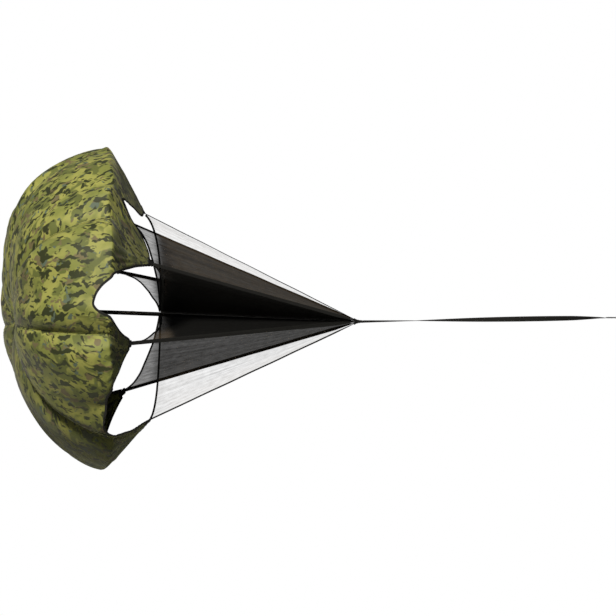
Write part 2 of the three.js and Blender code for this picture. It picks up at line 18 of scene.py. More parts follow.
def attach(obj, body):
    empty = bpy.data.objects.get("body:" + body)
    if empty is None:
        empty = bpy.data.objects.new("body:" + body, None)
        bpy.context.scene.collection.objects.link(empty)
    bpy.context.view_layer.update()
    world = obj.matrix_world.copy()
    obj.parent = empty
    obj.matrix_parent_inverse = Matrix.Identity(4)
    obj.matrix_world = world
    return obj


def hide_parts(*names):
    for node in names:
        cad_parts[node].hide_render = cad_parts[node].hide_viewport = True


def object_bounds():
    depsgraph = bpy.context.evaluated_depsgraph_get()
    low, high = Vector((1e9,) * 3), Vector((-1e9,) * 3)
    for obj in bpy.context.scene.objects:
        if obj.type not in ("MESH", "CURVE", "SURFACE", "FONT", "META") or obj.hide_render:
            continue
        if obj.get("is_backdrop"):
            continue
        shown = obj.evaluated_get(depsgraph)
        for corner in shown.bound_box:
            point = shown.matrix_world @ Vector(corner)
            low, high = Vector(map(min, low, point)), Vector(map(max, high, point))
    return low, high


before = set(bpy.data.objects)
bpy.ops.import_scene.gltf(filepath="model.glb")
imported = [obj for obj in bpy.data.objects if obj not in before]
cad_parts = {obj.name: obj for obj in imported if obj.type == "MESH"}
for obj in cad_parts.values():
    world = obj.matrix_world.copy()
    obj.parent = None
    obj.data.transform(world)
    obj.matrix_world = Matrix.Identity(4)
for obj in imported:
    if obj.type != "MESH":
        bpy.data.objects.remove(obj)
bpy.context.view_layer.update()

# %% [markdown]
# ## The camera
#
# The camera comes first, because the strap has to end just outside its view. It stands far away with a long
# lens, as for a product picture, so that near and far lines keep almost the same scale. It looks at the
# middle of the picture from the near side, a few degrees behind the canopy.

# %% Camera at the picture's angle
VIEW_AZIMUTH = -8  # degrees
VIEW_CENTRE = Vector((-1.0197, 0, 0.0299))
VIEW_DISTANCE = 60
VIEW_WIDTH = 1.9096  # metres across the picture at the view's centre
SENSOR = 36

bpy.ops.object.select_all(action="DESELECT")
a = math.radians(VIEW_AZIMUTH)
away = Vector((math.sin(a), -math.cos(a), 0))
bpy.ops.object.camera_add(location=VIEW_CENTRE + away * VIEW_DISTANCE, rotation=(math.pi / 2, 0, a))
camera = bpy.context.object
camera.name = "view_camera"
camera.data.sensor_width = SENSOR
camera.data.lens = SENSOR * VIEW_DISTANCE / VIEW_WIDTH
bpy.context.scene.camera = camera
bpy.context.scene.view_settings.view_transform = "Standard"
print("lens", round(camera.data.lens, 1), "mm")

# %% [markdown]
# ## Small helpers
#
# Colours are picked as sRGB hex values, as a colour chart gives them, and shaders want linear light, so one
# function converts them. Another adds a shader node with its settings and links. A third lays a piece out
# from a plane grid: the grid is a normal primitive, and each of its points is then moved to the place that
# the piece's own function gives for it, in the way that a sheet of cloth is laid over a form. The grid's UV
# map gets the cloth's real size in metres, so a weave can later be scaled in millimetres.

# %% Colours, nodes and laid-out grids
MM = 0.001


def linear(hex_colour):
    """An sRGB hex colour as linear red, green, blue and alpha."""
    parts = [int(hex_colour[n : n + 2], 16) / 255 for n in (1, 3, 5)]
    return tuple(c / 12.92 if c <= 0.04045 else ((c + 0.055) / 1.055) ** 2.4 for c in parts) + (1.0,)


def add_node(material, kind, inputs=(), **settings):
    """Adds a node. An input is a value, or the output socket of another node that it is linked to."""
    node = material.node_tree.nodes.new(kind)
    for name, value in settings.items():
        setattr(node, name, value)
    for socket, value in dict(inputs).items():
        if isinstance(value, bpy.types.NodeSocket):
            material.node_tree.links.new(value, node.inputs[socket])
        else:
            node.inputs[socket].default_value = value
    return node


def new_material(name):
    """An empty material with its shader and output."""
    material = bpy.data.materials.new(name)
    material.use_nodes = True
    material.node_tree.nodes.clear()
    shader = add_node(material, "ShaderNodeBsdfPrincipled")
    add_node(material, "ShaderNodeOutputMaterial", {"Surface": shader.outputs[0]})
    return material, shader


def link(material, output, socket):
    material.node_tree.links.new(output, socket)


def lay_out(name, columns, rows, place, flat):
    """A grid of columns by rows cells. place and flat take shares of its sides, and give points and UVs."""
    bpy.ops.object.select_all(action="DESELECT")
    bpy.ops.mesh.primitive_grid_add(x_subdivisions=columns, y_subdivisions=rows, size=1)
    piece = bpy.context.object
    piece.name = piece.data.name = name
    mesh = piece.data
    co = np.zeros(len(mesh.vertices) * 3)
    mesh.vertices.foreach_get("co", co)
    shares = co.reshape(-1, 3)[:, :2] + 0.5
    first = np.rint(shares[:, 0] * columns).astype(int)
    second = np.rint(shares[:, 1] * rows).astype(int)
    mesh.vertices.foreach_set("co", place(first, second).ravel())
    corner = np.zeros(len(mesh.loops), int)
    mesh.loops.foreach_get("vertex_index", corner)
    mesh.uv_layers[0].data.foreach_set("uv", flat(first, second)[corner].ravel())
    mesh.update()
    return piece


def finish(piece, thickness=0, bevel=0, inner_slot=0, smooth=True):
    """Gives a sheet its thickness, rounds its edges and shades it smooth."""
    bpy.ops.object.select_all(action="DESELECT")
    piece.select_set(True)
    bpy.context.view_layer.objects.active = piece
    if thickness:
        wall = piece.modifiers.new("wall", "SOLIDIFY")
        wall.thickness = thickness
        wall.offset = 0
        wall.material_offset = inner_slot
        bpy.ops.object.modifier_apply(modifier=wall.name)
    if bevel:
        edge = piece.modifiers.new("edge", "BEVEL")
        edge.width = bevel
        edge.segments = 2
        edge.limit_method = "ANGLE"
        edge.angle_limit = math.radians(50)
        bpy.ops.object.modifier_apply(modifier=edge.name)
    if smooth:
        bpy.ops.object.shade_smooth_by_angle(angle=math.radians(50))
    return piece


def dress(piece, slot, *materials):
    """Gives a piece its materials and lets it ride on the part's one body."""
    piece.data.materials.clear()
    for material in materials:
        piece.data.materials.append(material)
    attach(piece, "root")
    return piece


# %% [markdown]
# ## Black tape and webbing
#
# The lines, tabs and tow strap are woven polyester webbing, and the edges are bound with a lighter ribbed
# tape. Both are dyed black and hardly shine, so what tells them from plastic is the weave. A bump of fine
# ribs across the tape and a finer warp along it gives that. The ribs are drawn at 1.6 mm, about twice the
# real spacing, because finer ones would not show.

# %% Woven polyester webbing and ribbed binding tape
RIB_SPACING = 1.6 * MM
WARP_SPACING = 1.1 * MM
WAVE_UNIT = 2 * math.pi / 20  # a wave texture of scale 1 repeats after this length


def woven_black(name, colour, worn_colour, rib, rib_depth):
    material, shader = new_material(name)
    uv = add_node(material, "ShaderNodeUVMap").outputs[0]
    ribs = add_node(material, "ShaderNodeTexWave",
                    {"Vector": uv, "Scale": WAVE_UNIT / rib, "Distortion": 0.4},
                    bands_direction="Y")
    warp = add_node(material, "ShaderNodeTexWave", {"Vector": uv, "Scale": WAVE_UNIT / WARP_SPACING},
                    bands_direction="X")
    weave = add_node(material, "ShaderNodeMath", {0: ribs.outputs["Fac"], 1: warp.outputs["Fac"]},
                     operation="MULTIPLY")
    bump = add_node(material, "ShaderNodeBump", {"Height": weave.outputs[0], "Strength": 0.6,
                                                 "Distance": rib_depth})
    fuzz = add_node(material, "ShaderNodeTexNoise", {"Vector": uv, "Scale": 1 / (30 * MM), "Detail": 4.0})
    tone = add_node(material, "ShaderNodeMix", {"Factor": fuzz.outputs[0], "A": linear(colour),
                                                "B": linear(worn_colour)},
                    data_type="RGBA")
    set_inputs = {"Base Color": tone.outputs["Result"], "Normal": bump.outputs[0]}
    for socket, output in set_inputs.items():
        link(material, output, shader.inputs[socket])
    shader.inputs["Roughness"].default_value = 0.82
    shader.inputs["Specular IOR Level"].default_value = 0.3
    return material


webbing = woven_black("woven_polyester_webbing", "#0a0a0a", "#161615", RIB_SPACING, 0.25 * MM)
binding_tape = woven_black("ribbed_polyester_binding_tape", "#080808", "#141413", RIB_SPACING * 0.8, 0.2 * MM)
print("webbing ribs every", RIB_SPACING / MM, "mm")

# %% [markdown]
# ## The tow strap
#
# One flat strap of black webbing, 16 mm wide, runs from the cuff to the runner. It is taut, and it turns
# about its own length on the way, so it shows its edge near the cuff and its full width further on. It is a
# long thin grid whose rows are turned a little more at each step. The table repeats how far the width has
# turned at each share of the length, as the CAD strap has it.

# %% Strap route, twist and mesh
CONFLUENCE = Vector((-860, 0, -12)) * MM
STRAP_START = Vector((-847.7, 0, -12)) * MM
STRAP_END = Vector((-84.3, 0, 0)) * MM
STRAP_WIDTH = 16 * MM
STRAP_THICKNESS = 1.6 * MM
STRAP_ROWS = 240
TWIST_SHARE = [0, 0.22, 0.46, 0.7, 0.86, 1]
TWIST_ANGLE = [-24, 0, 48, 92, 122, 180]
PLY_STEP = 0.9 * MM  # the strap's end drops by this to lie in line with the lower ply of the loop's tail
PLY_LENGTH = 25 * MM


def smoothstep(x, low, high):
    t = np.clip((np.asarray(x, float) - low) / (high - low), 0, 1)
    return t * t * (3 - 2 * t)


def mix(a, b, t):
    return a + (b - a) * t


def strap_middle(share):
    share = np.asarray(share, float)[..., None]
    middle = mix(np.array(STRAP_START), np.array(STRAP_END), share)
    length = (STRAP_END - STRAP_START).length
    return middle - np.array((0, 0, 1)) * PLY_STEP * smoothstep(share * length, length - PLY_LENGTH, length)


def strap_place(first, second):
    share = second / STRAP_ROWS
    angle = np.radians(np.interp(share, TWIST_SHARE, TWIST_ANGLE))
    across = np.stack([np.zeros_like(angle), np.cos(angle), np.sin(angle)], axis=1)
    return strap_middle(share) + across * ((first / 6 - 0.5) * STRAP_WIDTH)[:, None]


def strap_flat(first, second):
    return np.stack([first / 6 * STRAP_WIDTH, second / STRAP_ROWS * (STRAP_END - STRAP_START).length], axis=1)


tow_strap = lay_out("tow_strap_webbing", 6, STRAP_ROWS, strap_place, strap_flat)
finish(tow_strap, STRAP_THICKNESS, 0.4 * MM)
dress(tow_strap, "black_webbing", webbing)
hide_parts("tow_strap")
print("strap", round((STRAP_END - STRAP_START).length, 3), "m long")

# %% [markdown]
# ## The end loop
#
# The strap's end is folded back on itself and sewn, which leaves a loop for a belt ring. The same grid
# method bends a short band round the teardrop path: out along the lower ply, round the bend, and back along
# the upper ply. The box of stitches with a cross in it, which holds the two plies, is made of single raised
# threads.

# %% Loop path, band and stitches
LOOP_INNER = 7 * MM
LOOP_GAP = 58 * MM
LOOP_TAIL = 26 * MM
LOOP_STEPS = 26  # round the bend
LEG_STEPS = 10  # from the tail to the bend
TAIL_STEPS = 8
STITCH_LENGTH = 2.6 * MM
STITCH_STEP = 3.4 * MM
THREAD = 0.35 * MM


def loop_path():
    """Points of the band's middle in x and z, from the lower ply's end round to the upper ply's."""
    radius = LOOP_INNER + STRAP_THICKNESS / 2
    reach = LOOP_GAP - LOOP_INNER
    lean = math.asin((radius - PLY_STEP) / reach)
    tail = [(-LOOP_GAP - LOOP_TAIL * (1 - n / TAIL_STEPS), -PLY_STEP) for n in range(TAIL_STEPS + 1)]
    turn = [mix(-math.pi / 2 - lean, math.pi / 2 + lean, n / LOOP_STEPS) for n in range(LOOP_STEPS + 1)]
    bend = [(-LOOP_INNER + radius * math.cos(t), radius * math.sin(t)) for t in turn]
    shares = [n / LEG_STEPS for n in range(1, LEG_STEPS)]
    lower = [(mix(tail[-1][0], bend[0][0], share), mix(tail[-1][1], bend[0][1], share)) for share in shares]
    upper = [(x, -z) for x, z in reversed(tail + lower)]
    return np.array(tail + lower + bend + upper)


def stitch_row(start, end, across, up):
    """Threads in a row from start to end, each a small rounded bar lying on the cloth."""
    along = (end - start).normalized()
    count = max(1, round((end - start).length / STITCH_STEP))
    bars = []
    for n in range(count):
        middle = start.lerp(end, (n + 0.5) / count)
        side = along.cross(up).normalized()
        ring = [side * THREAD, up * THREAD, side * -THREAD]
        ends = [middle - along * STITCH_LENGTH / 2, middle - along * STITCH_LENGTH / 4,
                middle + along * STITCH_LENGTH / 4, middle + along * STITCH_LENGTH / 2]
        height = [0.15, 1, 1, 0.15]
        bars.append([p + r * h for p, h in zip(ends, height) for r in ring])
    return bars


def thread_mesh(name, bars):
    """One mesh of all the stitches of a piece."""
    points, faces = [], []
    for bar in bars:
        base = len(points)
        points += [tuple(p) for p in bar]
        for n in range(3):
            for m in range(3):
                a, b = base + n * 3 + m, base + n * 3 + (m + 1) % 3
                faces.append((a, b, b + 3, a + 3))
        faces += [(base + 2, base + 1, base), (base + 9, base + 10, base + 11)]
    mesh = bpy.data.meshes.new(name)
    mesh.from_pydata(points, [], faces)
    mesh.uv_layers.new(name="UVMap")
    piece = bpy.data.objects.new(name, mesh)
    bpy.context.scene.collection.objects.link(piece)
    return piece


loop_line = loop_path()
loop_lengths = np.concatenate([[0], np.cumsum(np.linalg.norm(np.diff(loop_line, axis=0), axis=1))])


def loop_place(first, second):
    x, z = loop_line[second].T
    return np.stack([x, (first / 6 - 0.5) * STRAP_WIDTH, z], axis=1)


def loop_flat(first, second):
    return np.stack([first / 6 * STRAP_WIDTH, loop_lengths[second]], axis=1)


end_loop = lay_out("end_loop_webbing", 6, len(loop_line) - 1, loop_place, loop_flat)
finish(end_loop, STRAP_THICKNESS, 0.4 * MM)

box_low, box_high = -LOOP_GAP - LOOP_TAIL + 4 * MM, -LOOP_GAP - 3 * MM
box_side = STRAP_WIDTH / 2 - 2.5 * MM
bars = []
for side in (1, -1):
    height = side * (PLY_STEP + STRAP_THICKNESS / 2)
    corners = [Vector((x, y, height)) for x, y in
               [(box_low, -box_side), (box_high, -box_side), (box_high, box_side), (box_low, box_side)]]
    up = Vector((0, 0, side))
    for start, end in [(0, 1), (1, 2), (2, 3), (3, 0), (0, 2), (1, 3)]:
        bars += stitch_row(corners[start], corners[end], box_side, up)
loop_stitches = thread_mesh("end_loop_stitches", bars)

# %% [markdown]
# Bonded nylon thread, black and slightly waxy, so its stitches catch a little more light than the tape.

# %% Bonded nylon thread
thread, thread_shader = new_material("bonded_nylon_thread")
place_node = add_node(thread, "ShaderNodeTexCoord")
THREAD_TWIST = 1.2 * MM
twist = add_node(thread, "ShaderNodeTexNoise",
                 {"Vector": place_node.outputs["Object"], "Scale": 1 / THREAD_TWIST, "Detail": 2.0})
thread_tone = add_node(thread, "ShaderNodeMix", {"Factor": twist.outputs[0], "A": linear("#151515"),
                                                 "B": linear("#2b2b2a")},
                       data_type="RGBA")
link(thread, thread_tone.outputs["Result"], thread_shader.inputs["Base Color"])
thread_shader.inputs["Roughness"].default_value = 0.5

dress(end_loop, "black_webbing", webbing)
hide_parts("end_loop")
dress(loop_stitches, "black_webbing", thread)
print("loop band", round(loop_lengths[-1], 3), "m,", len(bars), "stitches")

# %% [markdown]
# ## The form of the canopy
#
# Cloth filled with air has no flat place in it, so the canopy is worked out and not drawn. Each seam runs
# from the crown over the rim and along a tongue to a tip. Between two seams the gore swells out. A place on
# a gore is its share of the gore's width, and how far down it lies: 0 is the crown, 1 the rim and 2 a tip.
# These sizes are those of the CAD solids, in millimetres. "Back" is measured behind the cuff, "out" from the
# tow axis, and "turn" round it in degrees, from 0 on the near side to 90 at the top.

# %% Sizes of seams and gores
DOME_BACK = 1094
CROWN_DIMPLE = 24
DIMPLE_SPREAD = 95
SQUARENESS = 2.8
SQUARENESS_TILT = 1.2
RIM_FLARE = 0.97
TONGUE_TURN = 30
TONGUE_LEAST = 0.035
FOLD_ROOM = 0.3
SOLID_COLUMNS = 16
SOLID_ROWS = 13
COLUMN_LEAN = 0.6
CROWN_HOLE = 6
BINDING_START = 18
EDGE_SAMPLES = 400  # along the curve of a scallop
TAB_LENGTH = 27
TAB_HOLD = 10

SEAM_FIELDS = ("name", "tip_turn", "tip_out", "tip_back", "rim_turn", "rim_out", "rim_back", "folds",
               "fold_depth")
SEAMS = [dict(zip(SEAM_FIELDS, row)) for row in [
    ("top_near", 79.5, 340, 679, 84, 505, 790, 1.1, 5),
    ("high_near", 33, 325, 683, 40, 490, 832, 1.4, 6),
    ("low_near", -12, 323, 755, -5, 458, 845, 1.2, 5.5),
    ("bottom_near", -67, 328, 669, -55, 432, 805, 1.4, 5.5),
    ("bottom_far", -138, 318, 701, -129, 436, 800, 1.2, 5),
    ("low_far", -185.5, 324, 794, -176, 462, 852, 1.3, 5),
    ("high_far", -213, 284, 721, -211, 484, 812, 1.2, 5),
    ("top_far", -247, 330, 692, -244, 500, 792, 1.1, 5),
]]
GORE_FIELDS = ("name", "swell", "scallop")
GORES = [dict(zip(GORE_FIELDS, row)) for row in [
    ("near_high", 30, [(0.39, 1.87), (0.53, 1.66), (0.66, 1.43), (0.735, 1.63), (0.755, 1.83), (0.86, 1.93)]),
    ("near_middle", 40, [(0.15, 1.8), (0.3, 1.57), (0.45, 1.28), (0.56, 0.94), (0.7, 0.84), (0.81, 0.87),
                         (0.87, 1.05), (0.9, 1.45), (0.93, 1.82)]),
    ("near_low", 36, [(0.11, 1.72), (0.29, 1.3), (0.44, 0.95), (0.64, 0.885), (0.84, 0.88), (0.9, 1.02),
                      (0.92, 1.4), (0.935, 1.82)]),
    ("bottom", 26, [(0.12, 1.8), (0.3, 1.48), (0.47, 1.15), (0.6, 1.01), (0.7, 1.08), (0.8, 1.28),
                    (0.9, 1.64)]),
    ("far_low", 34, [(0.1, 1.8), (0.25, 1.48), (0.4, 1.15), (0.52, 0.95), (0.65, 1.06), (0.8, 1.46),
                     (0.92, 1.8)]),
    ("far_middle", 30, [(0.1, 1.76), (0.25, 1.36), (0.38, 1.04), (0.5, 0.9), (0.62, 1.04), (0.78, 1.44),
                        (0.92, 1.83)]),
    ("far_high", 28, [(0.1, 1.78), (0.25, 1.4), (0.38, 1.08), (0.5, 0.94), (0.62, 1.1), (0.78, 1.52),
                      (0.92, 1.85)]),
    ("top", 32, [(0.1, 1.8), (0.25, 1.46), (0.4, 1.13), (0.54, 1), (0.7, 0.98), (0.8, 1.06), (0.88, 1.35),
                 (0.93, 1.7)]),
]]
CREASE_FIELDS = ("gore", "start", "end", "width", "depth")
CREASES = [dict(zip(CREASE_FIELDS, row)) for row in [
    ("near_low", (0.3, 1.3), (0.72, 0.72), 42, 11),
    ("near_high", (0.82, 0.5), (0.62, 1.06), 38, 9),
    ("near_middle", (0.25, 0.2), (0.52, 0.42), 34, 8),
    ("top", (0.35, 0.55), (0.7, 1.0), 40, 8),
    ("bottom", (0.3, 1.25), (0.5, 0.6), 44, 10),
    ("far_low", (0.7, 1.15), (0.4, 0.55), 42, 9),
    ("far_high", (0.3, 0.5), (0.62, 1.0), 38, 8),
]]
print(len(SEAMS), "seams and", len(GORES), "gores")

# %% [markdown]
# The dome's section is a rounded square, as air presses a cloth dome, and the tongue beyond the rim curves in
# to the tip. The gore's surface is spanned between the two profiles, lifted by its swell, gathered in soft
# folds near each tip and pressed in along its creases.

# %% Profile of a seam and point of the canopy
def profile(seam, down):
    """Turn, distance from the axis and distance behind the cuff of a seam."""
    down = np.asarray(down, float)
    turn = mix(seam["rim_turn"], seam["tip_turn"], smoothstep(down, 1, 2))
    share = np.sin(np.minimum(down, 1) * math.pi / 2)
    power = SQUARENESS + SQUARENESS_TILT * np.sin(np.radians(turn))
    rise = (1 - np.sqrt(1 - (RIM_FLARE * share) ** power)) / (1 - np.sqrt(1 - RIM_FLARE**power))
    t = np.maximum(down - 1, 0)
    tongue_out = ((1 - t) ** 2 + 2 * t * (1 - t)) * seam["rim_out"] + t**2 * seam["tip_out"]
    tongue_back = (1 - t) ** 2 * seam["rim_back"] + t**2 * seam["tip_back"]
    tongue_back = tongue_back + 2 * t * (1 - t) * (seam["rim_back"] - TONGUE_TURN)
    out = np.where(down <= 1, seam["rim_out"] * share, tongue_out)
    back = np.where(down <= 1, mix(DOME_BACK, seam["rim_back"], rise), tongue_back)
    return turn, out, back


def place(back, out, turn):
    """The point, in metres, at a distance behind the cuff, from the axis and a turn round it."""
    a = np.radians(turn)
    point = np.stack([-np.asarray(back, float), -out * np.cos(a), out * np.sin(a)], axis=-1)
    return point * MM + np.array(CONFLUENCE)


def cloth_end(seam):
    """How far down a seam its cloth ends, inside the tab."""
    _, tip_out, tip_back = profile(seam, 2)
    down = 2
    while True:
        _, out, back = profile(seam, down)
        if math.hypot(back - tip_back, out - tip_out) >= TAB_LENGTH - TAB_HOLD:
            return down
        down -= 1e-3


CLOTH_ENDS = [cloth_end(seam) for seam in SEAMS]


def spline(points, samples):
    """A smooth curve through the points."""
    points = np.array(points, float)
    t = np.linspace(0, len(points) - 1, samples + 1)
    n = np.minimum(t.astype(int), len(points) - 2)
    before, here = points[np.maximum(n - 1, 0)], points[n]
    there, after = points[n + 1], points[np.minimum(n + 2, len(points) - 1)]
    w = (t - n)[:, None]
    start, end = (there - before) / 2, (after - here) / 2
    bend = (2 * here - 2 * there + start + end) * w**3 + (3 * there - 3 * here - 2 * start - end) * w**2
    return bend + start * w + here


SCALLOPS = []
for g, gore in enumerate(GORES):
    ends = (TONGUE_LEAST, CLOTH_ENDS[g]), (1 - TONGUE_LEAST, CLOTH_ENDS[(g + 1) % 8])
    SCALLOPS.append(spline([ends[0], *gore["scallop"], ends[1]], EDGE_SAMPLES))


def tongue_share(g, is_first, down):
    """Share of the gore's width that its tongue still has."""
    across, far = (SCALLOPS[g] if is_first else SCALLOPS[g][::-1]).T
    share = across if is_first else 1 - across
    deepest = far.argmin() + 1
    return np.interp(down, np.minimum.accumulate(far[:deepest])[::-1], share[:deepest][::-1])


def gather(seam, g, is_first, from_seam, down):
    fade = smoothstep(down, 0.55, 1.05) * (1 - smoothstep(down, 1, 1.9))
    half = tongue_share(g, is_first, down)
    middle = (1 - smoothstep(from_seam, 0.2, 0.5)) * smoothstep(half, 0, FOLD_ROOM)
    return seam["fold_depth"] * fade * middle * np.cos(2 * math.pi * seam["folds"]
                                                       * from_seam / np.maximum(half, 0.01))


def creased(creases, gore, across, down, width, length):
    """Depth of the creases of a gore."""
    depth = np.zeros_like(across * down)
    for crease in creases:
        if crease["gore"] != gore["name"]:
            continue
        start_x, start_y = crease["start"][0] * width, crease["start"][1] * length
        along_x, along_y = crease["end"][0] * width - start_x, crease["end"][1] * length - start_y
        x, y = across * width - start_x, down * length - start_y
        share = np.clip((x * along_x + y * along_y) / (along_x**2 + along_y**2), 0, 1)
        away = np.hypot(x - share * along_x, y - share * along_y)
        depth += crease["depth"] * np.exp(-((away / crease["width"]) ** 2))
    return depth


# %% [markdown]
# The solids stop there. Real cloth also carries fine marks: short puckers where the sewing thread draws the
# seam in, narrow folds that run together into each tip, sharp creases from being packed, and a slack
# unevenness all over. They are added here in their real sizes, a few millimetres, and none of them repeats
# exactly. Beside its seams each lobe is also fuller than the solid, which makes the valleys deeper.

# %% Fine folds of the cloth
PUCKER_SPACING = 19  # mm along a seam
PUCKER_REACH = 17
PUCKER_HEIGHT = 1.1
TIP_FOLDS = 5.3  # narrow folds in each half of a tongue
TIP_FOLD_HEIGHT = 1.9
SLACK = 2.4
LOBE_FULLNESS = 2.2  # share of the gore's swell
PACK_CREASES = [dict(zip(CREASE_FIELDS, row)) for row in [
    ("near_low", (0.36, 1.22), (0.6, 0.86), 9, 3.4),
    ("near_middle", (0.08, 0.22), (0.3, 0.36), 8, 2.4),
    ("near_middle", (0.3, 0.18), (0.42, 0.42), 7, 2),
    ("near_high", (0.9, 0.3), (0.8, 0.74), 9, 3),
    ("top", (0.2, 0.5), (0.5, 0.62), 9, 2.4),
    ("far_middle", (0.2, 0.3), (0.44, 0.62), 9, 2.6),
    ("far_low", (0.25, 0.9), (0.5, 0.5), 9, 2.8),
    ("far_high", (0.7, 0.3), (0.5, 0.7), 8, 2.4),
    ("bottom", (0.75, 0.9), (0.5, 0.5), 9, 2.6),
]]


def fine_folds(g, across, down, width, length):
    """Height of everything too fine for the solid."""
    height = np.zeros_like(across * down)
    for is_first, from_seam, s in ((True, across, g), (False, 1 - across, (g + 1) % 8)):
        away = from_seam * width
        run = down * length
        uneven = 1.6 * np.sin(run / 61 + 2.1 * s) + 0.9 * np.sin(run / 23.7 + s)
        pucker = np.sin(2 * math.pi * run / PUCKER_SPACING + uneven + (0 if is_first else 0.7))
        strength = 0.6 + 0.4 * np.sin(run / 47 + 1.3 * s)
        height += PUCKER_HEIGHT * strength * pucker * (away / PUCKER_REACH) * np.exp(1 - away / PUCKER_REACH)
        half = tongue_share(g, is_first, down)
        fade = smoothstep(down, 0.7, 1.2) * (1 - smoothstep(down, 1.75, 2)) * smoothstep(half, 0.02, 0.12)
        inner = smoothstep(from_seam, 0, 0.04) * (1 - smoothstep(from_seam, 0.3, 0.5))
        wave = 2 * math.pi * TIP_FOLDS * from_seam / np.maximum(half, 0.03)
        height += TIP_FOLD_HEIGHT * fade * inner * np.sin(wave + 0.8 * np.sin(wave / 2.3 + s) + s)
    edge = smoothstep(across, 0, 0.12) * (1 - smoothstep(across, 0.88, 1))
    slack = np.sin(across * 9.1 + 3 * down + g) * np.sin(down * 7.3 - 2 * across + 2 * g)
    slack = slack + 0.5 * np.sin(across * 17 - 5 * down + 2.7 * g) * np.sin(down * 13.1 + 4 * across)
    height += SLACK * slack * edge * smoothstep(down, 0.1, 0.4)
    return height - creased(PACK_CREASES, GORES[g], across, down, width, length) * edge


def fuller(gore, edge, down):
    """The lobe's extra height beside its seams, where air presses the thin cloth out between the stitches."""
    fade = smoothstep(down, 0.15, 0.6) * (1 - smoothstep(down, 1.0, 1.5))
    return LOBE_FULLNESS * gore["swell"] * edge * (1 - edge) * fade


def gore_size(g, across, down):
    """Width of the gore at a place, and the length that one unit of down stands for, in mm."""
    first_turn, first_out, _ = profile(SEAMS[g], down)
    second_turn, second_out, _ = profile(SEAMS[(g + 1) % 8], down)
    second_turn = second_turn - (360 if g == 7 else 0)
    return mix(first_out, second_out, smoothstep(across, 0, 1)) * np.radians(first_turn - second_turn)


def canopy_point(g, across, down, fine=1.0):
    """A place on gore g, in metres. fine 0 is the surface that the solid has."""
    across, down = np.broadcast_arrays(np.asarray(across, float), np.asarray(down, float))
    gore = GORES[g]
    first_turn, first_out, first_back = profile(SEAMS[g], down)
    second_turn, second_out, second_back = profile(SEAMS[(g + 1) % 8], down)
    second_turn = second_turn - (360 if g == 7 else 0)
    ease = smoothstep(across, 0, 1)
    out, back = mix(first_out, second_out, ease), mix(first_back, second_back, ease)
    dome = np.minimum(down, 1) * math.pi / 2
    width = out * np.radians(first_turn - second_turn)
    length = SEAMS[g]["rim_out"]
    edge = 4 * across * (1 - across)
    lift = gore["swell"] * edge * np.sin(dome) * (1 - smoothstep(down, 1, 1.9))
    lift = lift + gather(SEAMS[g], g, True, across, down) + gather(SEAMS[(g + 1) % 8], g, False, 1 - across,
                                                                   down)
    lift = lift - creased(CREASES, gore, across, down, width, length) * edge
    lift = lift + fine * (fine_folds(g, across, down, width, length) + fuller(gore, edge, down))
    back = back - CROWN_DIMPLE * np.exp(-((out / DIMPLE_SPREAD) ** 2)) + lift * np.cos(dome)
    return place(back, out + lift * np.sin(dome), mix(first_turn, second_turn, across))


def canopy_normal(g, across, down):
    step = 2e-3
    left, right = np.maximum(across - step, 0), np.minimum(across + step, 1)
    sideways = canopy_point(g, right, down, 0) - canopy_point(g, left, down, 0)
    onward = canopy_point(g, across, down + step, 0) - canopy_point(g, across, down - step, 0)
    normal = np.cross(sideways, onward)
    return normal / np.linalg.norm(normal, axis=-1, keepdims=True)


# %% [markdown]
# ## Cutting out a gore
#
# The free edge of a gore is a deep scallop between two tongues. The grid's columns follow it: they start
# evenly round the crown and lean over to end at even steps along the scallop, as the threads of a bias-cut
# panel do. The same rule made the solids, here with four times as many columns and rows.

# %% Free edge and grid of a gore
GORE_COLUMNS = 72
GORE_ROWS = 72
SEAM_ROOM = 0.15  # mm that each gore keeps clear of the seam line under its felled seam


def free_edge(g, column):
    """Share across and down of the free edge at each column, counted in the solid's columns."""
    curve_across, curve_down = SCALLOPS[g].T
    line = canopy_point(g, curve_across, curve_down, 0)
    lengths = np.concatenate([[0], np.cumsum(np.linalg.norm(np.diff(line, axis=0), axis=1))]) / MM
    whole = lengths[-1]
    stops = [1, 2, SOLID_COLUMNS - 2, SOLID_COLUMNS - 1]
    run = np.interp(column, stops, [0, BINDING_START, whole - BINDING_START, whole])
    across, down = np.interp(run, lengths, curve_across), np.interp(run, lengths, curve_down)
    across = np.where(column < 1, column * TONGUE_LEAST, across)
    across = np.where(column > SOLID_COLUMNS - 1, 1 - (SOLID_COLUMNS - column) * TONGUE_LEAST, across)
    return across, down, run


def gore_places(g, first, second):
    """Share across and down of the grid's points."""
    column = first / GORE_COLUMNS * SOLID_COLUMNS
    edge_across, edge_down, _ = free_edge(g, column)
    rim_out = mix(SEAMS[g]["rim_out"], SEAMS[(g + 1) % 8]["rim_out"], column / SOLID_COLUMNS)
    start = np.arcsin(CROWN_HOLE / rim_out) * 2 / math.pi
    s = second / GORE_ROWS
    down = mix(start, edge_down, s)
    crown_across = mix(column / SOLID_COLUMNS, edge_across, COLUMN_LEAN)
    across = mix(crown_across, edge_across, s)
    room = SEAM_ROOM / np.maximum(gore_size(g, across, down), 1)
    return np.clip(across, room, 1 - room), down


def gore_lengths(g):
    """Length along the gore's middle, in mm, at each step down."""
    downs = np.linspace(0, 2, 201)
    line = canopy_point(g, np.full_like(downs, 0.5), downs, 0)
    return downs, np.concatenate([[0], np.cumsum(np.linalg.norm(np.diff(line, axis=0), axis=1))]) / MM


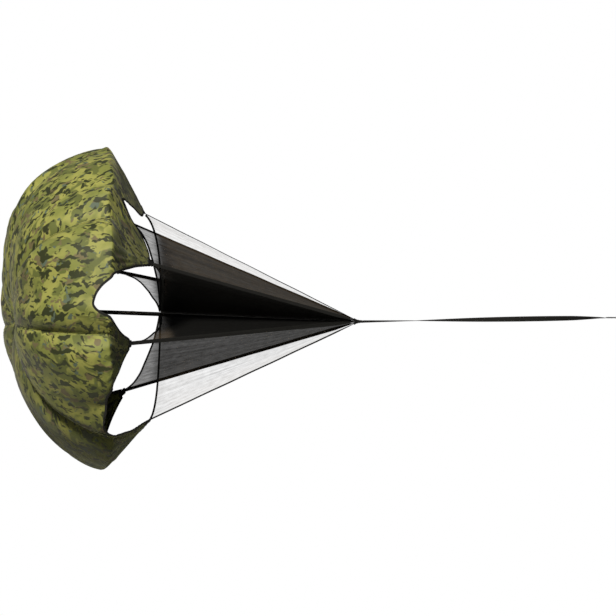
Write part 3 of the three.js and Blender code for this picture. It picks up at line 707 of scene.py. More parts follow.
def gore_cloth(g):
    downs, lengths = gore_lengths(g)

    def placed(first, second):
        return canopy_point(g, *gore_places(g, first, second))

    def flat(first, second):
        across, down = gore_places(g, first, second)
        u = (across - 0.5) * gore_size(g, across, down)
        return np.stack([u * MM + g, np.interp(down, downs, lengths) * MM], axis=1)

    return lay_out(f"canopy_{GORES[g]['name']}", GORE_COLUMNS, GORE_ROWS, placed, flat)


# %% [markdown]
# ## Printed ripstop nylon
#
# The cloth is a light ripstop nylon: thin, slightly glossy, with a grid of thicker threads every 5 mm that
# stops a tear. Its print is a plain woodland pattern of small streaks and blots. Five tones lie over the
# base, each from its own noise: mid olive clouds, deeper olive patches, dark streaks stretched along the
# gore, and a few grey-brown and blue-green blots. Narrow ramps give them the crisp edges of a print. The
# patterns follow the UV map, which holds the gore's flat size in metres, so they bend and foreshorten with
# the cloth. The reverse side is the same print as it shows through, with softer contrast, and its tones are
# painted darker than the face's, as painted shade for the inside of the canopy.

# %% Printed ripstop nylon, face and reverse
PATCH = 62 * MM
STREAK = 19 * MM
BLOT = 30 * MM
RIPSTOP_SPACING = 5 * MM


def printed_nylon(name, tones, roughness, show):
    """tones are base, mid, deep, dark, brown and blue. show is how strongly the print stands out."""
    base, mid, deep, dark, brown, blue = (linear(tone) for tone in tones)
    material, shader = new_material(name)
    uv = add_node(material, "ShaderNodeUVMap").outputs[0]
    wander = add_node(material, "ShaderNodeTexNoise", {"Vector": uv, "Scale": 1 / (55 * MM), "Detail": 2.0})
    centred = add_node(material, "ShaderNodeVectorMath", {0: wander.outputs["Color"], 1: (0.5, 0.5, 0.5)},
                       operation="SUBTRACT")
    warped = add_node(material, "ShaderNodeVectorMath", {0: centred.outputs[0], 1: (0.05, 0.05, 0.05), 2: uv},
                      operation="MULTIPLY_ADD").outputs[0]

    def spots(size, stretch, shift, low, high, detail=2.0, turn=0.0):
        """Where a noise of that size in metres passes from low to high."""
        mapped = add_node(material, "ShaderNodeMapping",
                          {"Vector": warped, "Location": shift, "Rotation": (0, 0, turn),
                           "Scale": (1, stretch, 1)})
        noise = add_node(material, "ShaderNodeTexNoise",
                         {"Vector": mapped.outputs[0], "Scale": 1 / size, "Detail": detail,
                                                          "Roughness": 0.55})
        return add_node(material, "ShaderNodeMapRange",
                        {"Value": noise.outputs[0], "From Min": low, "From Max": high,
                                                         "To Min": 0.0, "To Max": show}).outputs[0]

    layers = [
        (spots(PATCH, 0.7, (0.3, 0.1, 0.5), 0.44, 0.56), mid),
        (spots(PATCH * 0.6, 0.6, (5.3, 2.1, 2.5), 0.53, 0.58, 1.5), deep),
        (spots(BLOT, 0.55, (2.1, 0.7, 3.5), 0.6, 0.63), brown),
        (spots(BLOT * 0.8, 0.6, (4.4, 1.9, 6.5), 0.635, 0.66), blue),
        (spots(STREAK, 0.36, (1.2, 3.3, 9.5), 0.56, 0.6, 1.6, 0.3), dark),
        (spots(STREAK * 0.7, 0.4, (7.2, 1.3, 4.5), 0.6, 0.64, 1.6, -0.5), dark),
    ]
    colour = base
    for factor, tone in layers:
        colour = add_node(material, "ShaderNodeMix", {"Factor": factor, "A": colour, "B": tone},
                          data_type="RGBA").outputs["Result"]
    fading = add_node(material, "ShaderNodeTexNoise", {"Vector": uv, "Scale": 1 / (160 * MM), "Detail": 1.0})
    shade = add_node(material, "ShaderNodeMapRange",
                     {"Value": fading.outputs[0], "To Min": 0.8, "To Max": 1.2})
    colour = add_node(material, "ShaderNodeVectorMath", {0: colour, "Scale": shade.outputs[0]},
                      operation="SCALE").outputs[0]
    link(material, colour, shader.inputs["Base Color"])

    weft = add_node(material, "ShaderNodeTexWave", {"Vector": uv, "Scale": WAVE_UNIT / RIPSTOP_SPACING},
                    bands_direction="Y")
    warp = add_node(material, "ShaderNodeTexWave", {"Vector": uv, "Scale": WAVE_UNIT / RIPSTOP_SPACING},
                    bands_direction="X")
    grid = add_node(material, "ShaderNodeMath", {0: weft.outputs["Fac"], 1: warp.outputs["Fac"]},
                    operation="MAXIMUM")
    threads = add_node(material, "ShaderNodeMapRange",
                       {"Value": grid.outputs[0], "From Min": 0.93, "From Max": 1.0})
    bump = add_node(material, "ShaderNodeBump", {"Height": threads.outputs[0], "Strength": 0.35,
                                                 "Distance": 0.15 * MM})
    link(material, bump.outputs[0], shader.inputs["Normal"])
    shader.inputs["Roughness"].default_value = roughness
    shader.inputs["Specular IOR Level"].default_value = 0.25
    shader.inputs["Sheen Weight"].default_value = 0.08
    return material


nylon = printed_nylon("printed_ripstop_nylon",
                      ("#858645", "#6f7439", "#555b2c", "#262b11", "#5f573b", "#4b574a"), 0.6, 1.0)
# The reverse's tones are painted darker than the face's: painted shade for the canopy's inside. Its softer
# print contrast is the print showing through.
nylon_reverse_painted_shade = printed_nylon("printed_ripstop_nylon_reverse",
                              ("#666a40", "#545a33", "#434927", "#2a2f18", "#4a4535", "#3d463b"), 0.55, 0.9)

# %% [markdown]
# Now each gore is laid out and given its 0.8 mm of thickness and its two sides, and the size and area that
# it was cut to are printed.

# %% Eight gores
CLOTH = 0.8 * MM


def sheet_area(piece):
    return sum(face.area for face in piece.data.polygons)


gores, gore_cuts = [], []
for g, gore in enumerate(GORES):
    piece = gore_cloth(g)
    downs, lengths = gore_lengths(g)
    widest = float(gore_size(g, np.full(201, 0.5), downs).max()) * MM
    longest = float(lengths[-1]) * MM
    gore_cuts.append((round(widest, 3), round(longest, 3), round(sheet_area(piece), 3)))
    finish(piece, CLOTH, inner_slot=1)
    # The inner side of each gore takes the reverse, whose darker tones are painted shade.
    dress(piece, "canopy_cloth", nylon, nylon_reverse_painted_shade)
    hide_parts(f"gore_{gore['name']}")
    gores.append(piece)
    print(piece.name, "cut", gore_cuts[-1])

# %% [markdown]
# ## Felled seams
#
# Two gores are joined by folding their edges into each other and sewing through all the layers twice. That
# leaves a flat raised strip along the seam. A narrow grid follows both gores' surfaces a millimetre proud of
# them. Its stitches are drawn by the material, because there are thousands: short dashes in two rows.

# %% Seam strips
SEAM_WIDTH = 10  # mm
SEAM_PROUD = 1.0
SEAM_ROWS = 150
SEAM_COLUMNS = 6
STITCH_ROW = 3.1 * MM  # from the seam's middle
STITCH_HALF_WIDTH = 0.45 * MM  # as coarse as it needs to be to show
SEAM_STEP = 4.2 * MM
SEAM_STITCH = 3.2 * MM


def seam_place(s, first, second):
    seam_end = CLOTH_ENDS[s] - 0.02
    start = 0.045
    down = mix(start, seam_end, second / SEAM_ROWS)
    side = first / SEAM_COLUMNS - 0.5
    point = np.zeros((len(first), 3))
    for g, here in ((s, side >= 0), ((s - 1) % 8, side < 0)):
        width = gore_size(g, np.zeros(here.sum()), down[here])
        narrow = 1 - 0.45 * smoothstep(down[here], 1.5, 2)
        share = np.abs(side[here]) * SEAM_WIDTH * narrow / width
        across = share if g == s else 1 - share
        height = SEAM_PROUD * (1 - (2 * np.abs(side[here])) ** 6 * 0.9) + 0.1
        proud = canopy_normal(g, across, down[here]) * height[:, None] * MM
        point[here] = canopy_point(g, across, down[here]) + proud
    return point


def seam_flat(s, first, second):
    run = second / SEAM_ROWS * 1.05
    return np.stack([(first / SEAM_COLUMNS - 0.5) * SEAM_WIDTH * MM + s, run], axis=1)


def with_stitches(base, name):
    """The printed cloth again, with two rows of thread drawn along the strip."""
    material = base.copy()
    material.name = name
    tree = material.node_tree
    shader = next(n for n in tree.nodes if n.type == "BSDF_PRINCIPLED")
    printed = shader.inputs["Base Color"].links[0].from_socket
    uv = next(n for n in tree.nodes if n.type == "UVMAP").outputs[0]
    parts = add_node(material, "ShaderNodeSeparateXYZ", {0: uv})
    # Each seam's strip is one metre further along u, so the fraction of u is its place across the strip
    across = add_node(material, "ShaderNodeMath", {0: parts.outputs[0], 1: 0.5}, operation="ADD")
    across = add_node(material, "ShaderNodeMath", {0: across.outputs[0]}, operation="FRACT")
    across = add_node(material, "ShaderNodeMath", {0: across.outputs[0], 1: 0.5}, operation="SUBTRACT")
    away = add_node(material, "ShaderNodeMath", {0: across.outputs[0]}, operation="ABSOLUTE")
    row = add_node(material, "ShaderNodeMath", {0: away.outputs[0], 1: STITCH_ROW, 2: STITCH_HALF_WIDTH},
                   operation="COMPARE")
    dash = add_node(material, "ShaderNodeMath", {0: parts.outputs[1], 1: SEAM_STEP}, operation="MODULO")
    dash = add_node(material, "ShaderNodeMath", {0: dash.outputs[0], 1: SEAM_STITCH}, operation="LESS_THAN")
    stitch = add_node(material, "ShaderNodeMath", {0: row.outputs[0], 1: dash.outputs[0]},
                      operation="MULTIPLY")
    tone = add_node(material, "ShaderNodeMix", {"Factor": stitch.outputs[0], "A": printed,
                                                "B": linear("#1d2012")},
                    data_type="RGBA")
    link(material, tone.outputs["Result"], shader.inputs["Base Color"])
    return material


seam_cloth = with_stitches(nylon, "felled_seam_nylon")
for s, seam in enumerate(SEAMS):
    piece = lay_out(f"seam_{seam['name']}", SEAM_COLUMNS, SEAM_ROWS, lambda i, j: seam_place(s, i, j),
                    lambda i, j: seam_flat(s, i, j))
    finish(piece, 0.5 * MM)
    dress(piece, "canopy_cloth", seam_cloth)

# %% [markdown]
# ## Bindings, tabs and lines
#
# A strip of ribbed tape is folded over each scallop's raw edge. In section it is a flat oval, and a small
# function sweeps that oval along any line of points. It is used again for the tape on the mesh.

# %% Sweep of a flat section
SECTION = [(-1, -0.5), (-1.06, 0), (-1, 0.5), (-0.8, 0.95), (0, 1), (0.8, 0.95), (1, 0.5), (1.06, 0),
           (1, -0.5),
           (0.8, -0.95), (0, -1), (-0.8, -0.95)]


def sweep(name, line, outward, facing, half_width, half_thickness):
    """A closed tape with its middle along line, its width along outward and its thickness along facing."""
    around = len(SECTION)
    lengths = np.concatenate([[0], np.cumsum(np.linalg.norm(np.diff(line, axis=0), axis=1))])

    def placed(first, second):
        x, y = np.array(SECTION)[first % around].T
        sideways = outward[second] * (x * half_width)[:, None]
        return line[second] + sideways + facing[second] * (y * half_thickness)[:, None]

    def flat(first, second):
        return np.stack([first / around * 2 * (half_width + half_thickness), lengths[second]], axis=1)

    piece = lay_out(name, around, len(line) - 1, placed, flat)
    bpy.ops.object.mode_set(mode="EDIT")
    bpy.ops.mesh.select_all(action="SELECT")
    bpy.ops.mesh.remove_doubles(threshold=1e-6)
    bpy.ops.mesh.select_all(action="DESELECT")
    bpy.ops.mesh.select_mode(type="EDGE")
    bpy.ops.mesh.select_non_manifold()
    bpy.ops.mesh.edge_face_add()
    bpy.ops.mesh.select_all(action="SELECT")
    bpy.ops.mesh.normals_make_consistent(inside=False)
    bpy.ops.object.mode_set(mode="OBJECT")
    return finish(piece)


def unit(v):
    return v / np.linalg.norm(v, axis=-1, keepdims=True)


# %% [markdown]
# The binding follows the edge's own fine folds. The cloth reaches a millimetre into it, so no gap shows.

# %% Eight bindings
BINDING_WIDTH = 7.6  # mm, from 1 mm inside the cloth's edge to where the solid tape ends
BINDING_THICKNESS = 2.2
BINDING_POINTS = 110

for g, gore in enumerate(GORES):
    column = np.linspace(1, SOLID_COLUMNS - 1, BINDING_POINTS)
    across, down, _ = free_edge(g, column)
    edge = canopy_point(g, across, down)
    along = unit(np.gradient(edge, axis=0))
    face = canopy_normal(g, across, down)
    outward = unit(np.cross(face, along))
    inside = canopy_point(g, across, down - 0.02)
    outward *= np.sign(np.einsum("ij,ij->i", outward, edge - inside).mean())
    middle = edge + outward * (BINDING_WIDTH / 2 - 1) * MM
    piece = sweep(f"binding_tape_{gore['name']}", middle, outward, face, BINDING_WIDTH / 2 * MM,
                  BINDING_THICKNESS / 2 * MM)
    dress(piece, "black_tape", binding_tape)
    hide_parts(f"binding_{gore['name']}")

# %% [markdown]
# Each tip sits in a folded tab of webbing that also takes the end of its line. The tab is modelled once: a
# cube of the tab's size is bevelled along the fold, subdivided and pinched at its waist, where the stitches
# draw it in. Its copies are then turned into place by moving their meshes, so that every object stays at the
# origin.

# %% One tab, and its frame at each tip
TAB_WIDTH = 24
TAB_THICKNESS = 4.6


def tip_frame(s):
    """Where a tongue ends: the cloth's end, the tab's direction, its facing, and the way round the axis."""
    down = CLOTH_ENDS[s]
    turn, _, _ = profile(SEAMS[s], down)
    cloth = canopy_point(s, 0, down, 0)
    way = cloth - canopy_point(s, 0, down * (1 - 1 / SOLID_ROWS), 0)
    a = math.radians(turn)
    round_axis = np.array([0, math.sin(a), math.cos(a)])
    way = unit(way - round_axis * way.dot(round_axis))
    face = unit(np.cross(round_axis, way))
    return cloth, way, face, round_axis, cloth + way * (TAB_LENGTH - TAB_HOLD) * MM


bpy.ops.object.select_all(action="DESELECT")
bpy.ops.mesh.primitive_cube_add(size=1)
tab_form = bpy.context.object
tab_form.scale = (TAB_LENGTH * MM, TAB_THICKNESS * MM, TAB_WIDTH * MM)
tab_form.location = ((TAB_LENGTH / 2 - TAB_HOLD) * MM, 0, 0)
bpy.ops.object.transform_apply(location=True, rotation=True, scale=True)
bpy.ops.object.mode_set(mode="EDIT")
bpy.ops.mesh.select_all(action="SELECT")
bpy.ops.mesh.subdivide(number_cuts=5)
bpy.ops.object.mode_set(mode="OBJECT")
for v in tab_form.data.vertices:
    x = v.co.x / MM
    waist = math.exp(-(((x - 4) / 4) ** 2))
    v.co.y *= 1 - 0.22 * waist
    v.co.z *= 1 - 0.16 * waist - 0.22 * smoothstep(x, 9, 17)
rounding = tab_form.modifiers.new("rounding", "BEVEL")
rounding.width = 1.1 * MM
rounding.segments = 3
rounding.limit_method = "ANGLE"
rounding.angle_limit = math.radians(50)
bpy.ops.object.modifier_apply(modifier="rounding")
bpy.ops.object.shade_smooth_by_angle(angle=math.radians(50))
uv = tab_form.data.uv_layers[0]
for loop in tab_form.data.loops:
    co = tab_form.data.vertices[loop.vertex_index].co
    uv.data[loop.index].uv = (co.z, co.x + co.y)

TAB_ROWS = [(-7, 8.6), (0, 8.6), (12.5, 7.2)]  # mm: how far along the tab, and half the row's length
WAIST_DEPTH = 0.55  # mm, where the two plies are pressed together
WAIST_AT = 4
WAIST_REACH = 4
tab_bars = []
for side in (1, -1):
    up = Vector((0, side, 0))
    high = side * (TAB_THICKNESS / 2 - 0.1) * MM
    for x, half_row in TAB_ROWS:
        half = half_row * MM
        lower = WAIST_DEPTH * MM * math.exp(-(((x - WAIST_AT) / WAIST_REACH) ** 2))
        tab_bars += stitch_row(Vector((x * MM, high - side * lower, -half)),
                               Vector((x * MM, high - side * lower, half)), half, up)
print("a tab has", len(tab_form.data.polygons), "faces and", len(tab_bars), "stitches")

# %% Eight tabs
tabs, tab_threads = [], []
for s, seam in enumerate(SEAMS):
    cloth, way, face, _, _ = tip_frame(s)
    turned = Matrix([(*row, p) for row, p in zip(np.stack([way, face, np.cross(way, face)], axis=1),
                                                 cloth)] + [(0, 0, 0, 1)])
    mesh = tab_form.data.copy()
    mesh.transform(turned)
    piece = bpy.data.objects.new(f"tab_webbing_{seam['name']}", mesh)
    bpy.context.scene.collection.objects.link(piece)
    dress(piece, "black_webbing", webbing)
    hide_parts(f"tab_{seam['name']}")
    stitches = thread_mesh(f"tab_stitches_{seam['name']}", [[turned @ p for p in bar] for bar in tab_bars])
    dress(stitches, "black_webbing", thread)
    tabs.append(piece)
    tab_threads.append(stitches)
bpy.data.objects.remove(tab_form)
print(len(tabs), "tabs")

# %% [markdown]
# The lines are flat webbing under tension, straight from tab to cuff, with their width lying round the tow
# axis. Close to the cuff they crowd together and each one bunches into a narrow cord.

# %% Eight lines
LINE_WIDTH = 12.5
LINE_THICKNESS = 1.2
LINE_END = 12
LINE_TUCK = 6  # mm of the line inside its tab
LINE_CROWDING = 0.155
LINE_ROWS = 110

for s, seam in enumerate(SEAMS):
    _, tab_way, _, round_axis, end = tip_frame(s)
    to_tip = end - np.array(CONFLUENCE)
    whole = np.linalg.norm(to_tip) / MM
    way = unit(to_tip)
    facing = unit(np.cross(round_axis, way))

    def line_place(first, second):
        distance = mix(whole + LINE_TUCK, LINE_END, second / LINE_ROWS)
        width = np.minimum(LINE_WIDTH, LINE_CROWDING * distance)
        side = first / 4 - 0.5
        wave = 0.35 * np.sin(distance / 27 + s) * np.sin(math.pi * second / LINE_ROWS)
        cup = 0.9 * (width / LINE_WIDTH) * (1 - 4 * side**2) * np.sin(distance / 140 + 2 * s)
        offset = (side * width)[:, None] * round_axis + (wave + cup)[:, None] * facing
        return np.array(CONFLUENCE) + distance[:, None] * MM * way + offset * MM

    def line_flat(first, second):
        return np.stack([first / 4 * LINE_WIDTH * MM, second / LINE_ROWS * whole * MM], axis=1)

    piece = lay_out(f"line_webbing_{seam['name']}", 4, LINE_ROWS, line_place, line_flat)
    finish(piece, LINE_THICKNESS * MM, 0.3 * MM)
    dress(piece, "black_webbing", webbing)
    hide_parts(f"line_{seam['name']}")

# %% [markdown]
# ## The sheer mesh
#
# Eight panels of sheer mesh fill the planes between the lines and the tow axis. They keep the lines from
# tangling when the canopy is dropped. Each is a fan of rays from the cuff to an arc that hangs between its
# tip and the heart, the place on the axis where all eight arcs meet. From the heart forward most panels are
# doubled by a second layer, which makes them nearly opaque.

# %% Panel form
HEART_BACK = 620
HEART_RISE = 27
PANEL_SEAM = 4
PANEL_TIP = 14
PANEL_FIRST = 5  # degrees of the arc that stay bare at the tip
PANEL_NOSE = 24
RIPPLE = 4


def panel_share(angle):
    return np.clip((angle - PANEL_TIP) / (90 - PANEL_TIP), 0, 1)


def panel_fan(s):
    end = tip_frame(s)[4]
    line = (end - np.array(CONFLUENCE)) / MM
    heart = np.array([-HEART_BACK, 0, HEART_RISE], float)
    seam_way = unit(heart)
    outward = unit(line - seam_way * line.dot(seam_way))
    inward = unit(outward - line * outward.dot(line) / line.dot(line))
    past = 1 - np.linalg.norm(heart) / line.dot(seam_way)
    face = unit(np.cross(outward, seam_way))
    line_lift = LINE_THICKNESS / 2 + 0.3
    return line, heart, outward, inward, past, face, line_lift


def fan_point(fan, angle, reach, ripple):
    line, heart, outward, inward, past, face, line_lift = fan
    a = np.radians(angle)[..., None]
    by_seam = panel_share(angle)[..., None]
    to_tip = past + (1 - past) * np.cos(a) - past * np.sin(a)
    point = (heart * (1 - np.cos(a)) + line * to_tip) * np.asarray(reach)[..., None]
    point = point + outward * PANEL_SEAM * by_seam - inward * line_lift * (1 - by_seam)
    return (point + face * np.asarray(ripple)[..., None]) * MM + np.array(CONFLUENCE)


def ripple_at(angle, reach, phase, fine=1.0):
    share = panel_share(angle)
    broad = RIPPLE * np.sin(2.6 * math.pi * share + phase)
    narrow = 0.8 * np.sin(17 * share + 3 * phase) + 0.5 * np.sin(31 * share + 4 * reach + phase)
    return reach * np.sin(math.pi * share) * (broad + fine * narrow)


# %% [markdown]
# Sheer polyester net is mostly holes, so its material lets part of the light straight through. How much comes
# from the sheet's own "layers" value: low where there is one layer, high where there are two. Fine gathers
# run along the rays and converge at the cuff, and there the net is denser, so dark streaks follow the rays.
# The net's threads are drawn 2.4 mm apart, coarser than the real 1 mm, so that they can show.

# %% Sheer polyester net
NET_SPACING = 2.4 * MM
net, net_shader = new_material("sheer_polyester_net")
net_uv = add_node(net, "ShaderNodeUVMap").outputs[0]
net_density = add_node(net, "ShaderNodeAttribute", attribute_name="layers").outputs["Fac"]
rays = add_node(net, "ShaderNodeMapping", {"Vector": net_uv, "Scale": (1 / (11 * MM), 1 / (420 * MM), 1)})
gathers = add_node(net, "ShaderNodeTexNoise", {"Vector": rays.outputs[0], "Scale": 1.0, "Detail": 3.0,
                                               "Distortion": 0.6})
clouds = add_node(net, "ShaderNodeTexNoise", {"Vector": net_uv, "Scale": 1 / (24 * MM), "Detail": 3.0})
net_weft = add_node(net, "ShaderNodeTexWave", {"Vector": net_uv, "Scale": WAVE_UNIT / NET_SPACING},
                    bands_direction="DIAGONAL")
uneven = add_node(net, "ShaderNodeMath", {0: gathers.outputs[0], 1: 1.5, 2: clouds.outputs[0]},
                  operation="MULTIPLY_ADD")
uneven = add_node(net, "ShaderNodeMath", {0: net_weft.outputs["Fac"], 1: 0.2, 2: uneven.outputs[0]},
                  operation="MULTIPLY_ADD")
openness = add_node(net, "ShaderNodeMath", {0: 1.0, 1: net_density}, operation="SUBTRACT")
# The holes let through 0.45 to 1.6 times the sheet's openness, and less unevenly where the net is open
spread = add_node(net, "ShaderNodeMapRange", {"Value": uneven.outputs[0], "From Min": 0.95, "From Max": 1.75,
                                              "To Min": 1.6, "To Max": 0.45})
calm = add_node(net, "ShaderNodeMath", {0: openness.outputs[0], 1: -0.8, 2: 1.0}, operation="MULTIPLY_ADD")
swing = add_node(net, "ShaderNodeMath", {0: spread.outputs[0], 1: 1.0}, operation="SUBTRACT")
swing = add_node(net, "ShaderNodeMath", {0: swing.outputs[0], 1: calm.outputs[0], 2: 1.0},
                 operation="MULTIPLY_ADD")
through = add_node(net, "ShaderNodeMath", {0: openness.outputs[0], 1: swing.outputs[0]}, operation="MULTIPLY")
alpha = add_node(net, "ShaderNodeMath", {0: 1.0, 1: through.outputs[0]}, operation="SUBTRACT", use_clamp=True)
dark_part = add_node(net, "ShaderNodeMapRange", {"Value": net_density, "From Min": 0.4, "From Max": 0.97})
net_tone = add_node(net, "ShaderNodeMix", {"Factor": dark_part.outputs[0], "A": linear("#5a4d3c"),
                                           "B": linear("#040404")},
                    data_type="RGBA")
link(net, net_tone.outputs["Result"], net_shader.inputs["Base Color"])
link(net, alpha.outputs[0], net_shader.inputs["Alpha"])
net_shader.inputs["Roughness"].default_value = 0.75
net_shader.inputs["Specular IOR Level"].default_value = 0.2

# %% [markdown]
# Each panel is a single thin layer, as a net has no thickness worth drawing. Its density goes from the value
# at the arc to the value of the body where the second layer starts, a little behind the heart.

# %% Eight panels and their edge tapes
PANEL_COLUMNS = 48
PANEL_ROWS = 40
EDGE_TAPE_WIDTH = 5.8
EDGE_TAPE_THICKNESS = 2.2
EDGE_TAPE_END = 7
SECOND_LAYER = (600, 640)  # mm behind the cuff between which the second layer ends
DENSITY = {  # at the arc, and in the body
    "top_near": (0.24, 0.22),
    "high_near": (0.9, 0.985),
    "low_near": (0.66, 0.985),
    "bottom_near": (0.26, 0.24),
    "bottom_far": (0.8, 0.93),
    "low_far": (0.6, 0.985),
    "high_far": (0.6, 0.98),
    "top_far": (0.66, 0.972),
}

panels, tapes = [], []
for s, seam in enumerate(SEAMS):
    fan = panel_fan(s)

    def panel_grid(first, second):
        angle = mix(PANEL_FIRST, 90, first / PANEL_COLUMNS)
        reach = mix(PANEL_NOSE / HEART_BACK, 1, second / PANEL_ROWS)
        return angle, reach

    def panel_place(first, second):
        angle, reach = panel_grid(first, second)
        return fan_point(fan, angle, reach, ripple_at(angle, reach, s))

    def panel_flat(first, second):
        angle, reach = panel_grid(first, second)
        return np.stack([np.radians(angle) * 0.45 + s, reach * np.linalg.norm(fan[0]) * MM], axis=1)

    piece = lay_out(f"net_{seam['name']}", PANEL_COLUMNS, PANEL_ROWS, panel_place, panel_flat)
    co = np.zeros(len(piece.data.vertices) * 3)
    piece.data.vertices.foreach_get("co", co)
    behind = (CONFLUENCE.x - co.reshape(-1, 3)[:, 0]) / MM
    at_arc, body = DENSITY[seam["name"]]
    density = piece.data.attributes.new("layers", "FLOAT", "POINT")
    density.data.foreach_set("value", mix(body, at_arc, smoothstep(behind, *SECOND_LAYER)).astype(np.float32))
    finish(piece)
    dress(piece, "sheer_mesh", net)
    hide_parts(f"mesh_{seam['name']}")
    panels.append(piece)

    angle = np.linspace(4, 90, 70)
    arc = fan_point(fan, angle, np.ones(70), ripple_at(angle, 1, s))
    short = EDGE_TAPE_END * MM / np.linalg.norm(arc[-1] - arc[-2])
    arc[-1] = mix(arc[-1], arc[-2], min(short - 0.4, 0.9))
    facing = np.repeat(fan[5][None], 70, axis=0)
    outward = unit(np.cross(unit(np.gradient(arc, axis=0)), facing))
    outward *= np.sign((outward @ (arc.mean(axis=0) - np.array(CONFLUENCE))).mean())
    middle = arc + outward * (EDGE_TAPE_WIDTH / 2 - 0.5) * MM
    tape = sweep(f"net_tape_{seam['name']}", middle, outward, facing, EDGE_TAPE_WIDTH / 2 * MM,
                 EDGE_TAPE_THICKNESS / 2 * MM)
    dress(tape, "black_tape", binding_tape)
    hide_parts(f"mesh_edge_{seam['name']}")
    tapes.append(tape)
print(len(panels), "net panels")

# %% [markdown]
# ## The cuff
#
# All eight lines end in a short cuff of tape, wound tightly round them and sewn. It is turned from a circle:
# extruded and narrowed ring by ring towards the strap, then given a few windings.

# %% Wound cuff
CUFF_RINGS = [(15, 10.6), (13.5, 10.4), (8, 7), (3, 5.8), (-4, 4.6), (-11, 4.3),
              (-12, 3.9)]  # back, radius in mm
bpy.ops.object.select_all(action="DESELECT")
back, radius = CUFF_RINGS[0]
bpy.ops.mesh.primitive_circle_add(vertices=32, radius=radius * MM, fill_type="NGON",
                                  location=CONFLUENCE - Vector((back * MM, 0, 0)),
                                  rotation=(0, math.pi / 2, 0))
cuff = bpy.context.object
cuff.name = cuff.data.name = "line_cuff_tape"
bpy.ops.object.transform_apply(location=True, rotation=True, scale=True)
bpy.ops.object.mode_set(mode="EDIT")
bpy.ops.mesh.select_all(action="SELECT")
for next_back, next_radius in CUFF_RINGS[1:]:
    bpy.ops.mesh.extrude_region_move(TRANSFORM_OT_translate={"value": ((back - next_back) * MM, 0, 0)})
    centre = CONFLUENCE - Vector((next_back * MM, 0, 0))
    bpy.ops.transform.resize(value=(1, next_radius / radius, next_radius / radius), center_override=centre)
    back, radius = next_back, next_radius
bpy.ops.mesh.select_all(action="SELECT")
bpy.ops.mesh.normals_make_consistent(inside=False)
bpy.ops.mesh.subdivide(number_cuts=2)
bpy.ops.object.mode_set(mode="OBJECT")
WINDING_DEPTH = 0.35 * MM
WINDING_PITCH = 3.4 * MM
for v in cuff.data.vertices:
    away = Vector((0, v.co.y - CONFLUENCE.y, v.co.z - CONFLUENCE.z))
    turn = math.atan2(away.z, away.y)
    winding = WINDING_DEPTH * math.sin(2 * math.pi * (v.co.x / WINDING_PITCH) + turn)
    if away.length > 3 * MM:
        v.co += away.normalized() * (winding - WINDING_DEPTH)
for loop in cuff.data.loops:
    co = cuff.data.vertices[loop.vertex_index].co
    cuff.data.uv_layers[0].data[loop.index].uv = (co.x, math.atan2(co.z - CONFLUENCE.z, co.y) * 7 * MM)
finish(cuff)
dress(cuff, "black_tape", binding_tape)
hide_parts("line_cuff")
print("cuff", len(cuff.data.polygons), "faces")

# %% [markdown]
# The gores leave a small hole where they meet at the crown. A round patch of the same cloth covers it.

# %% Crown patch
CROWN_PATCH = 21  # mm, radius
PATCH_RINGS = 10
PATCH_SPOKES = 48
PATCH_PROUD = 1.7  # mm before the cloth at its middle
PATCH_EDGE_DROP = 0.8  # mm


def patch_place(first, second):
    turn = first / PATCH_SPOKES * 2 * math.pi
    out = second / PATCH_RINGS * CROWN_PATCH
    back = DOME_BACK - CROWN_DIMPLE * np.exp(-((out / DIMPLE_SPREAD) ** 2))
    back = back + PATCH_PROUD - PATCH_EDGE_DROP * (out / CROWN_PATCH) ** 4
    return place(back, out, np.degrees(turn))


def patch_flat(first, second):
    turn = first / PATCH_SPOKES * 2 * math.pi
    out = second / PATCH_RINGS * CROWN_PATCH * MM
    return np.stack([9 + out * np.cos(turn), out * np.sin(turn)], axis=1)


patch = lay_out("crown_patch", PATCH_SPOKES, PATCH_RINGS, patch_place, patch_flat)
bpy.ops.object.mode_set(mode="EDIT")
bpy.ops.mesh.select_all(action="SELECT")
bpy.ops.mesh.remove_doubles(threshold=1e-6)
bpy.ops.mesh.normals_make_consistent(inside=False)
bpy.ops.object.mode_set(mode="OBJECT")
finish(patch, 0.6 * MM)
dress(patch, "canopy_cloth", nylon)

# %% [markdown]
# ## The panels' lines again
#
# The line and the heart of each net panel are worked out once more, and nothing further is done with them.

for s, piece in enumerate(panels):
    line, heart = panel_fan(s)[:2]

# %% [markdown]
# ## Studio
#
# A pale floor lies well below the canopy. One large soft light stands high on the camera's side, like the sun
# through thin cloud, and a weak sky fills the shade. The floor is hidden from the light that the cloth sends
# out, because it would throw that up into the shaded underside. What the camera sees behind the part is plain
# white, but the light that the world sheds on it is dim, and dimmer still from below, so that the underside
# and the folds keep their depth.

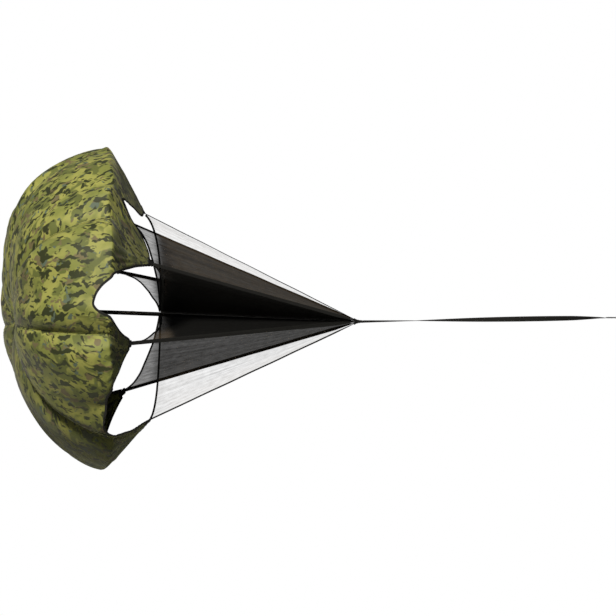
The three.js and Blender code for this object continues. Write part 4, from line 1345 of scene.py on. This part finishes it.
# %% Floor
FLOOR_Z = -1.3
FLOOR_SIDE = 7
bpy.ops.object.select_all(action="DESELECT")
bpy.ops.mesh.primitive_plane_add(size=FLOOR_SIDE, location=(VIEW_CENTRE.x, 0, FLOOR_Z))
floor = bpy.context.object
floor.name = "floor"
bpy.ops.object.transform_apply(location=True, rotation=True, scale=True)
floor_paint, floor_shader = new_material("matt_white_paint")
floor_place = add_node(floor_paint, "ShaderNodeTexCoord").outputs["Object"]
floor_cloud = add_node(floor_paint, "ShaderNodeTexNoise", {"Vector": floor_place, "Scale": 1.3})
floor_tone = add_node(floor_paint, "ShaderNodeMix",
                      {"Factor": floor_cloud.outputs[0], "A": linear("#f1f1ef"), "B": linear("#f6f6f5")},
                      data_type="RGBA")
link(floor_paint, floor_tone.outputs["Result"], floor_shader.inputs["Base Color"])
floor_shader.inputs["Roughness"].default_value = 1.0
floor_shader.inputs["Specular IOR Level"].default_value = 0.0
floor.data.materials.append(floor_paint)
floor.visible_diffuse = False  # no light comes up from it into the underside
floor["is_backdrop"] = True

# %% Lights and sky
def soft_light(name, place, aim, size, power, colour):
    bpy.ops.object.light_add(type="AREA", location=place)
    lamp = bpy.context.object
    lamp.name = name
    lamp.data.size = size
    lamp.data.energy = power
    lamp.data.color = linear(colour)[:3]
    lamp.rotation_euler = (Vector(aim) - Vector(place)).to_track_quat("-Z", "Y").to_euler()


CANOPY_MIDDLE = (-1.65, 0, 0)
soft_light("sun_through_cloud", (-4.3, -4.5, 3.3), CANOPY_MIDDLE, 0.8, 540, "#fff9ea")
soft_light("open_sky", (-2.2, -5.0, 2.4), CANOPY_MIDDLE, 3.0, 10, "#f3f7ff")

world = bpy.data.worlds.new("plain_studio")
world.use_nodes = True
bpy.context.scene.world = world
world.node_tree.nodes.clear()
sky_way = add_node(world, "ShaderNodeTexCoord")
sky_parts = add_node(world, "ShaderNodeSeparateXYZ", {0: sky_way.outputs["Generated"]})
sky = add_node(world, "ShaderNodeMapRange", {"Value": sky_parts.outputs[2], "From Min": -0.4, "From Max": 0.7,
                                             "To Min": 0.012, "To Max": 0.2}, interpolation_type="SMOOTHSTEP")
seen = add_node(world, "ShaderNodeLightPath").outputs["Is Camera Ray"]
strength = add_node(world, "ShaderNodeMix", {"Factor": seen, "A": sky.outputs[0], "B": 1.0},
                    data_type="FLOAT")
sky_light = add_node(world, "ShaderNodeBackground",
                     {"Color": linear("#ffffff"), "Strength": strength.outputs[0]})
add_node(world, "ShaderNodeOutputWorld", {"Surface": sky_light.outputs[0]})

# %% [markdown]
# Last, the bounds of the dressed model are worked out. The cloth may stand proud of it by no more than about
# 3% and 10 mm.

# %% Sizes and the end
low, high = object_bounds()
